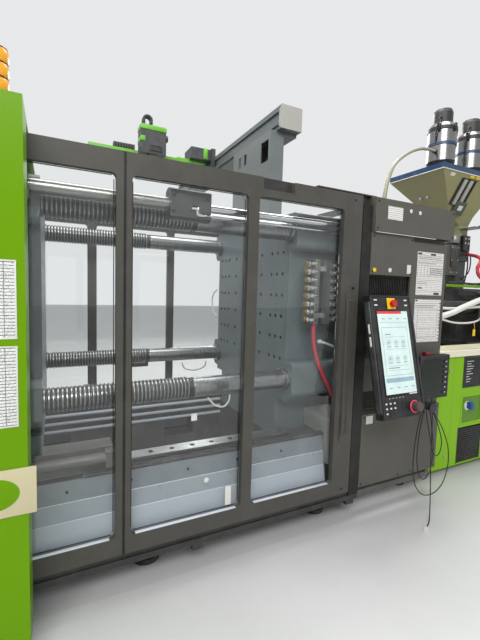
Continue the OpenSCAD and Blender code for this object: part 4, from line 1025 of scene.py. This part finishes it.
manifold_fittings()


# ---- travel cylinder head, hopper and loaders ----
HOPPER_RIM = (0, -300, 2650)
HOPPER_SLOPE = Matrix.Rotation(math.atan2(190, 330), 4, "X")
HOPPER_SKIN = -299.9
LOADER_RADIUS = 137


def travel_head_fittings():
    elbow = [drum(*run) for run in (
        ("x", -724, -692, (-749, 1903), 11, 6, 2), ("z", 1866, 1908, (-690, -748), 10, 6, 2),
        ("x", -694, -652, (-748, 1872), 11, 6, 2), ("x", -652, -612, (-747, 1871), 5, 20, 1))]
    fit("travel_head_elbow", elbow, *CHROME, "moving_platen_group")
    fit("travel_head_screws", screws(-745, 9, (-812, -634), (1878, 1958)),
        *SCREW, "moving_platen_group")


def fit_slope(name, parts, finish, slot):
    """Fits pieces, made upright under the rim, onto the hopper's sloping front."""
    fit(name, changed(parts, HOPPER_RIM, HOPPER_SLOPE), finish, slot, CARRIAGE)


def hopper_fittings():
    # Painted highlight: thin white strips along the hopper rim's left and front edges
    lip = [slab(1782, x1, -303, y1, 2644, 2652, 1, 1) for x1, y1 in ((1785.3, 303), (2668, -299.7))]
    fit("hopper_lip_highlight", lip, "white_plastic", "olive_paint", CARRIAGE)
    fit_slope("hopper_label", slab(1915, 1975, -301, HOPPER_SKIN, 2600, 2628, 0.4, 1), *WHITE)
    sight = push(slab(2090, 2312, -306, HOPPER_SKIN, 2352, 2608, 3), 9, -4)
    fit_slope("hopper_sight_frame", sight, *DARK)
    tubes = [drum("z", 2362, 2598, (x, -309), 18, 24, 2) for x in (2146, 2232)]
    fit_slope("hopper_sight_tubes", tubes, "robot_paint", "robot_grey")
    box = push(slab(2165, 2320, -334, HOPPER_SKIN, 2268, 2400, 6, 3), 14, 2)
    fit_slope("hopper_level_box", box, "level_box", "olive_paint")
    fit_slope("hopper_level_label", slab(2205, 2270, -336.8, -335.6, 2318, 2366, 0.3, 1), *WHITE)
    clasps = [slab(x, x + 56, -314, HOPPER_SKIN, 2618, 2640, 4, 3) for x in (2180, 2268)]
    fit_slope("hopper_clasps", clasps, *YELLOW)
    bolts = [drum("x", 1976, 2006, (y, 2474), 15, 24, 2) for y in (79, 1)]
    fit("hopper_left_bolts", bolts, *ZINC, CARRIAGE)


def loader_fittings():
    clasps, wires = [], []
    for centre in (2060, 2500):
        for turn_by in (205, 270, 335):
            angle = math.radians(turn_by)
            x, y = centre + LOADER_RADIUS * math.cos(angle), -60 + LOADER_RADIUS * math.sin(angle)
            clasps.append(slab(x - 13, x + 13, y - 8, y + 8, 3060, 3132, 3))
        clasps.append(slab(centre - 60, centre + 60, -120, 0, 3270, 3289, 5))
        wires.append(hose([(centre + x, y, z) for x, y, z in (
            (-70, -96, 3200), (-120, -120, 3190), (-146, -110, 3120), (-140, -96, 3010),
            (-132, -90, 2954))], 7, 5))
    fit("loader_clasps", clasps, *BLACK, CARRIAGE)
    fit("loader_wires", wires, *DARK_HOSE, CARRIAGE)


def throat_fittings():
    """The boxes, block and wires around the hopper's neck."""
    box = push(slab(2262, 2391, -96, -20, 2046, 2136, 6, 3), 10, 3)
    fit("throat_box", box, "box_grey", "robot_grey", CARRIAGE)
    block = [push(slab(2270, 2391, -88, -10, 1716, 2026, 5, 3), 14, 4)]
    block += [slab(x, x + 8, -98, -91, 1760, 1980) for x in range(2300, 2388, 22)]
    fit("throat_block", block, "machine_grey", "machine_grey", CARRIAGE)
    fit("throat_bolts", screws(-92, 8, (2284, 2380), (1745, 1870, 1998)), *ZINC, CARRIAGE)
    control = push(slab(2428, 2534, -118, -74.9, 1968, 2128, 6, 3), 12, -4)
    fit("throat_control", control, *BLACK, CARRIAGE)
    dots = [drum("y", -120, -113, (x, z), 8, 24) for x in (2455, 2507) for z in (2096, 2050)]
    dots += [slab(2288, 2326, -100.2, -98.6, 2078, 2114, 0.3, 1)]
    fit("throat_keys", dots, *WHITE, CARRIAGE)
    wires = hoses(
        ([(2460, -112, 1976), (2452, -150, 1920), (2440, -164, 1780), (2474, -120, 1640)], 7, 5),
        ([(2500, -112, 1976), (2512, -146, 1900), (2490, -150, 1760), (2500, -76, 1680)], 6, 5),
        ([(2280, -70, 2052), (2254, -96, 1990), (2250, -108, 1880), (2285, -90, 1800)], 6, 5))
    fit("throat_wires", wires, *DARK_HOSE, CARRIAGE)


travel_head_fittings()
hopper_fittings()
throat_fittings()
loader_fittings()


# ---- pipes, hoses and wires ----

def machine_hoses():
    loops = hoses(
        ([(0, 598, 1500), (-14, 640, 1470), (-18, 672, 1420), (-16, 676, 1360), (-14, 655, 1300),
          (0, 600, 1250)], 6),
        ([(-113, 555, 850), (-130, 545, 810), (-170, 535, 790), (-240, 530, 780),
          (-319, 540, 800), (-340, 555, 850)], 6),
        ([(-400, -570, 866), (-414, -590, 834), (-454, -605, 808), (-508, -600, 822),
          (-546, -580, 864)], 5),
        ([(206, -646, 1176), (240, -650, 1168), (300, -650, 1148), (345, -648, 1132)], 8))
    loops.append(drum("x", 190, 214, (-646, 1178), 13, 24, 2))
    fit("platen_white_loops", loops, *WHITE_HOSE)


def carriage_hoses():
    white = hoses(
        ([(2335, -402, 1450), (2330, -436, 1474), (2260, -446, 1480), (2000, -440, 1404),
          (1841, -430, 1350), (1700, -400, 1318), (1560, -260, 1320), (1500, -130, 1370)],
         27, 8, 5),
        ([(2300, -402, 1420), (2280, -424, 1410), (2000, -428, 1396), (1750, -410, 1392),
          (1560, -240, 1420), (1500, -110, 1430)], 12),
        ([(2340, -402, 1380), (2310, -440, 1330), (2150, -456, 1270), (1900, -446, 1262),
          (1700, -400, 1300), (1520, -200, 1340)], 9),
        ([(2360, -402, 1490), (2352, -430, 1440), (2290, -462, 1330), (2200, -470, 1300)], 6))
    fit("carriage_white_hoses", white, *WHITE_HOSE, CARRIAGE)
    tray = [slab(1790, 2600, -412, -396, 1585, 1608, 3)]
    tray += [slab(x, x + 24, -410, -398, 1510, 1588) for x in (2306, 2346)]
    fit("carriage_cable_tray", tray, "lime", "lime_paint", CARRIAGE)
    dark = hoses(
        ([(1800, -404, 1619), (1950, -406, 1623), (2200, -402, 1620), (2420, -400, 1640),
          (2520, -300, 1660), (2560, -190, 1600)], 11),
        ([(1800, -392, 1600), (2000, -380, 1560), (2200, -384, 1552), (2320, -388, 1524)], 13))
    fit("carriage_dark_hoses", dark, *DARK_HOSE, CARRIAGE)
    red = hose([(2500, -100, 1940), (2450, -230, 1912), (2330, -360, 1866), (2215, -425, 1816),
                (2160, -440, 1766), (2178, -440, 1712), (2262, -428, 1672), (2390, -396, 1636),
                (2500, -300, 1610)], 17, 14, 4, 0.22)
    fit("carriage_red_hose", red, "red_hose", "hose_rubber", CARRIAGE)
    tag = [slab(2106, 2142, -476, -472, 1140, 1200),
           hose([(2124, -474, 1198), (2126, -474, 1232), (2130, -464, 1262)], 2, 3)]
    fit("carriage_tag", tag, *YELLOW, CARRIAGE)


def loader_hose():
    """The hose from the cover to the loader; it is fixed in place and rides on no body."""
    way = [(705, -650, 2112), (712, -650, 2200), (740, -645, 2300), (830, -620, 2430),
           (1226, -400, 2645), (1600, -220, 2800), (1936, -90, 2880)]
    pipe = fit("loader_hose", hose(way, 14, 10, 5), "beige_hose", "hose_rubber", None)
    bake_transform(pipe)
    fit("loader_hose_foot", drum("z", 2100.4, 2150, (705, -650), 22, 32, 3), *BLACK)
    fit("loader_hose_cuff", drum("x", 1905, 1934, (-91, 2879), 20, 32, 3), *BLACK, CARRIAGE)


machine_hoses()
carriage_hoses()
loader_hose()


# ---- robot, lamp and small marks ----
LAMP = (-1522, -950)


def chain_arch(x, z, radius, y0, y1, count):
    """Links of a cable chain bent over in a half circle."""
    links = []
    for k in range(count):
        link = push(slab(x - 11, x + 11, y0, y1, z + radius - 12, z + radius + 12, 3), 4, -4)
        bend = Matrix.Rotation(math.pi * (k / (count - 1) - 0.5), 4, "Y")
        links.append(changed(link, (x, 0, z), bend))
    return links


def robot_fittings():
    links = chain_arch(-530, 3092, 36, 1130, 1190, 7)
    links += [slab(x - 12, x + 12, 1130, 1190, z, z + 22, 3)
              for x in (-566, -494) for z in (3038, 3063)]
    fit("robot_head_chain", links, *DARK, "robot_head")
    lid = [slab(-604, -356, 1096, 1243, 2990, 3034, 4, 3)]
    lid += [slab(-604, x1, 1096, y1, 2880, 2925) for x1, y1 in ((-560, 1100.2), (-599.8, 1243))]
    fit("robot_head_lid", lid, *GREEN, "robot_head")
    knob = [drum("x", -360.2, -334, (1150, 2950), 32, 32, 4),
            push(slab(-520, -400, 1094, 1100.2, 2800, 2860, 2), 8, -3)]
    fit("robot_head_joint", knob, *DARK, "robot_head")
    flat_links = [push(slab(x, x + 23, 1244, 1312, 2826.3, 2878, 4), 7, -5)
                  for x in range(-826, -626, 25)]
    fit("robot_flat_chain", flat_links, *DARK, "robot_saddle")
    fit("robot_saddle_band", slab(60, 104, 1186, 1414, 2852, 2960, 3), *GREEN, "robot_saddle")


def tower_lamp():
    fit("tower_lamp_foot", drum("z", 2150.2, 2166, LAMP, 42, 40, 3), *BLACK)
    tiers = (2166, 2216, 2266)
    fit("tower_lamp_glass", [drum("z", z, z + 46, LAMP, 38, 48, 5) for z in tiers],
        "amber", "cream_top")
    fit("tower_lamp_rims", [drum("z", z + 45.5, z + 50.5, LAMP, 36, 48, 1) for z in tiers], *BLACK)


def pane_labels():
    near, far = -773.6, -772.2
    labels = [slab(-506, -470, near, far, 300, 408, 0.4, 1),
              slab(-712, -680, near, far, 808, 846, 0.4, 1),
              drum("y", near, far, (-620, 470), 14, 24, 0.3)]
    fit("pane_labels", labels, *WHITE, "front_door")


robot_fittings()
tower_lamp()
pane_labels()
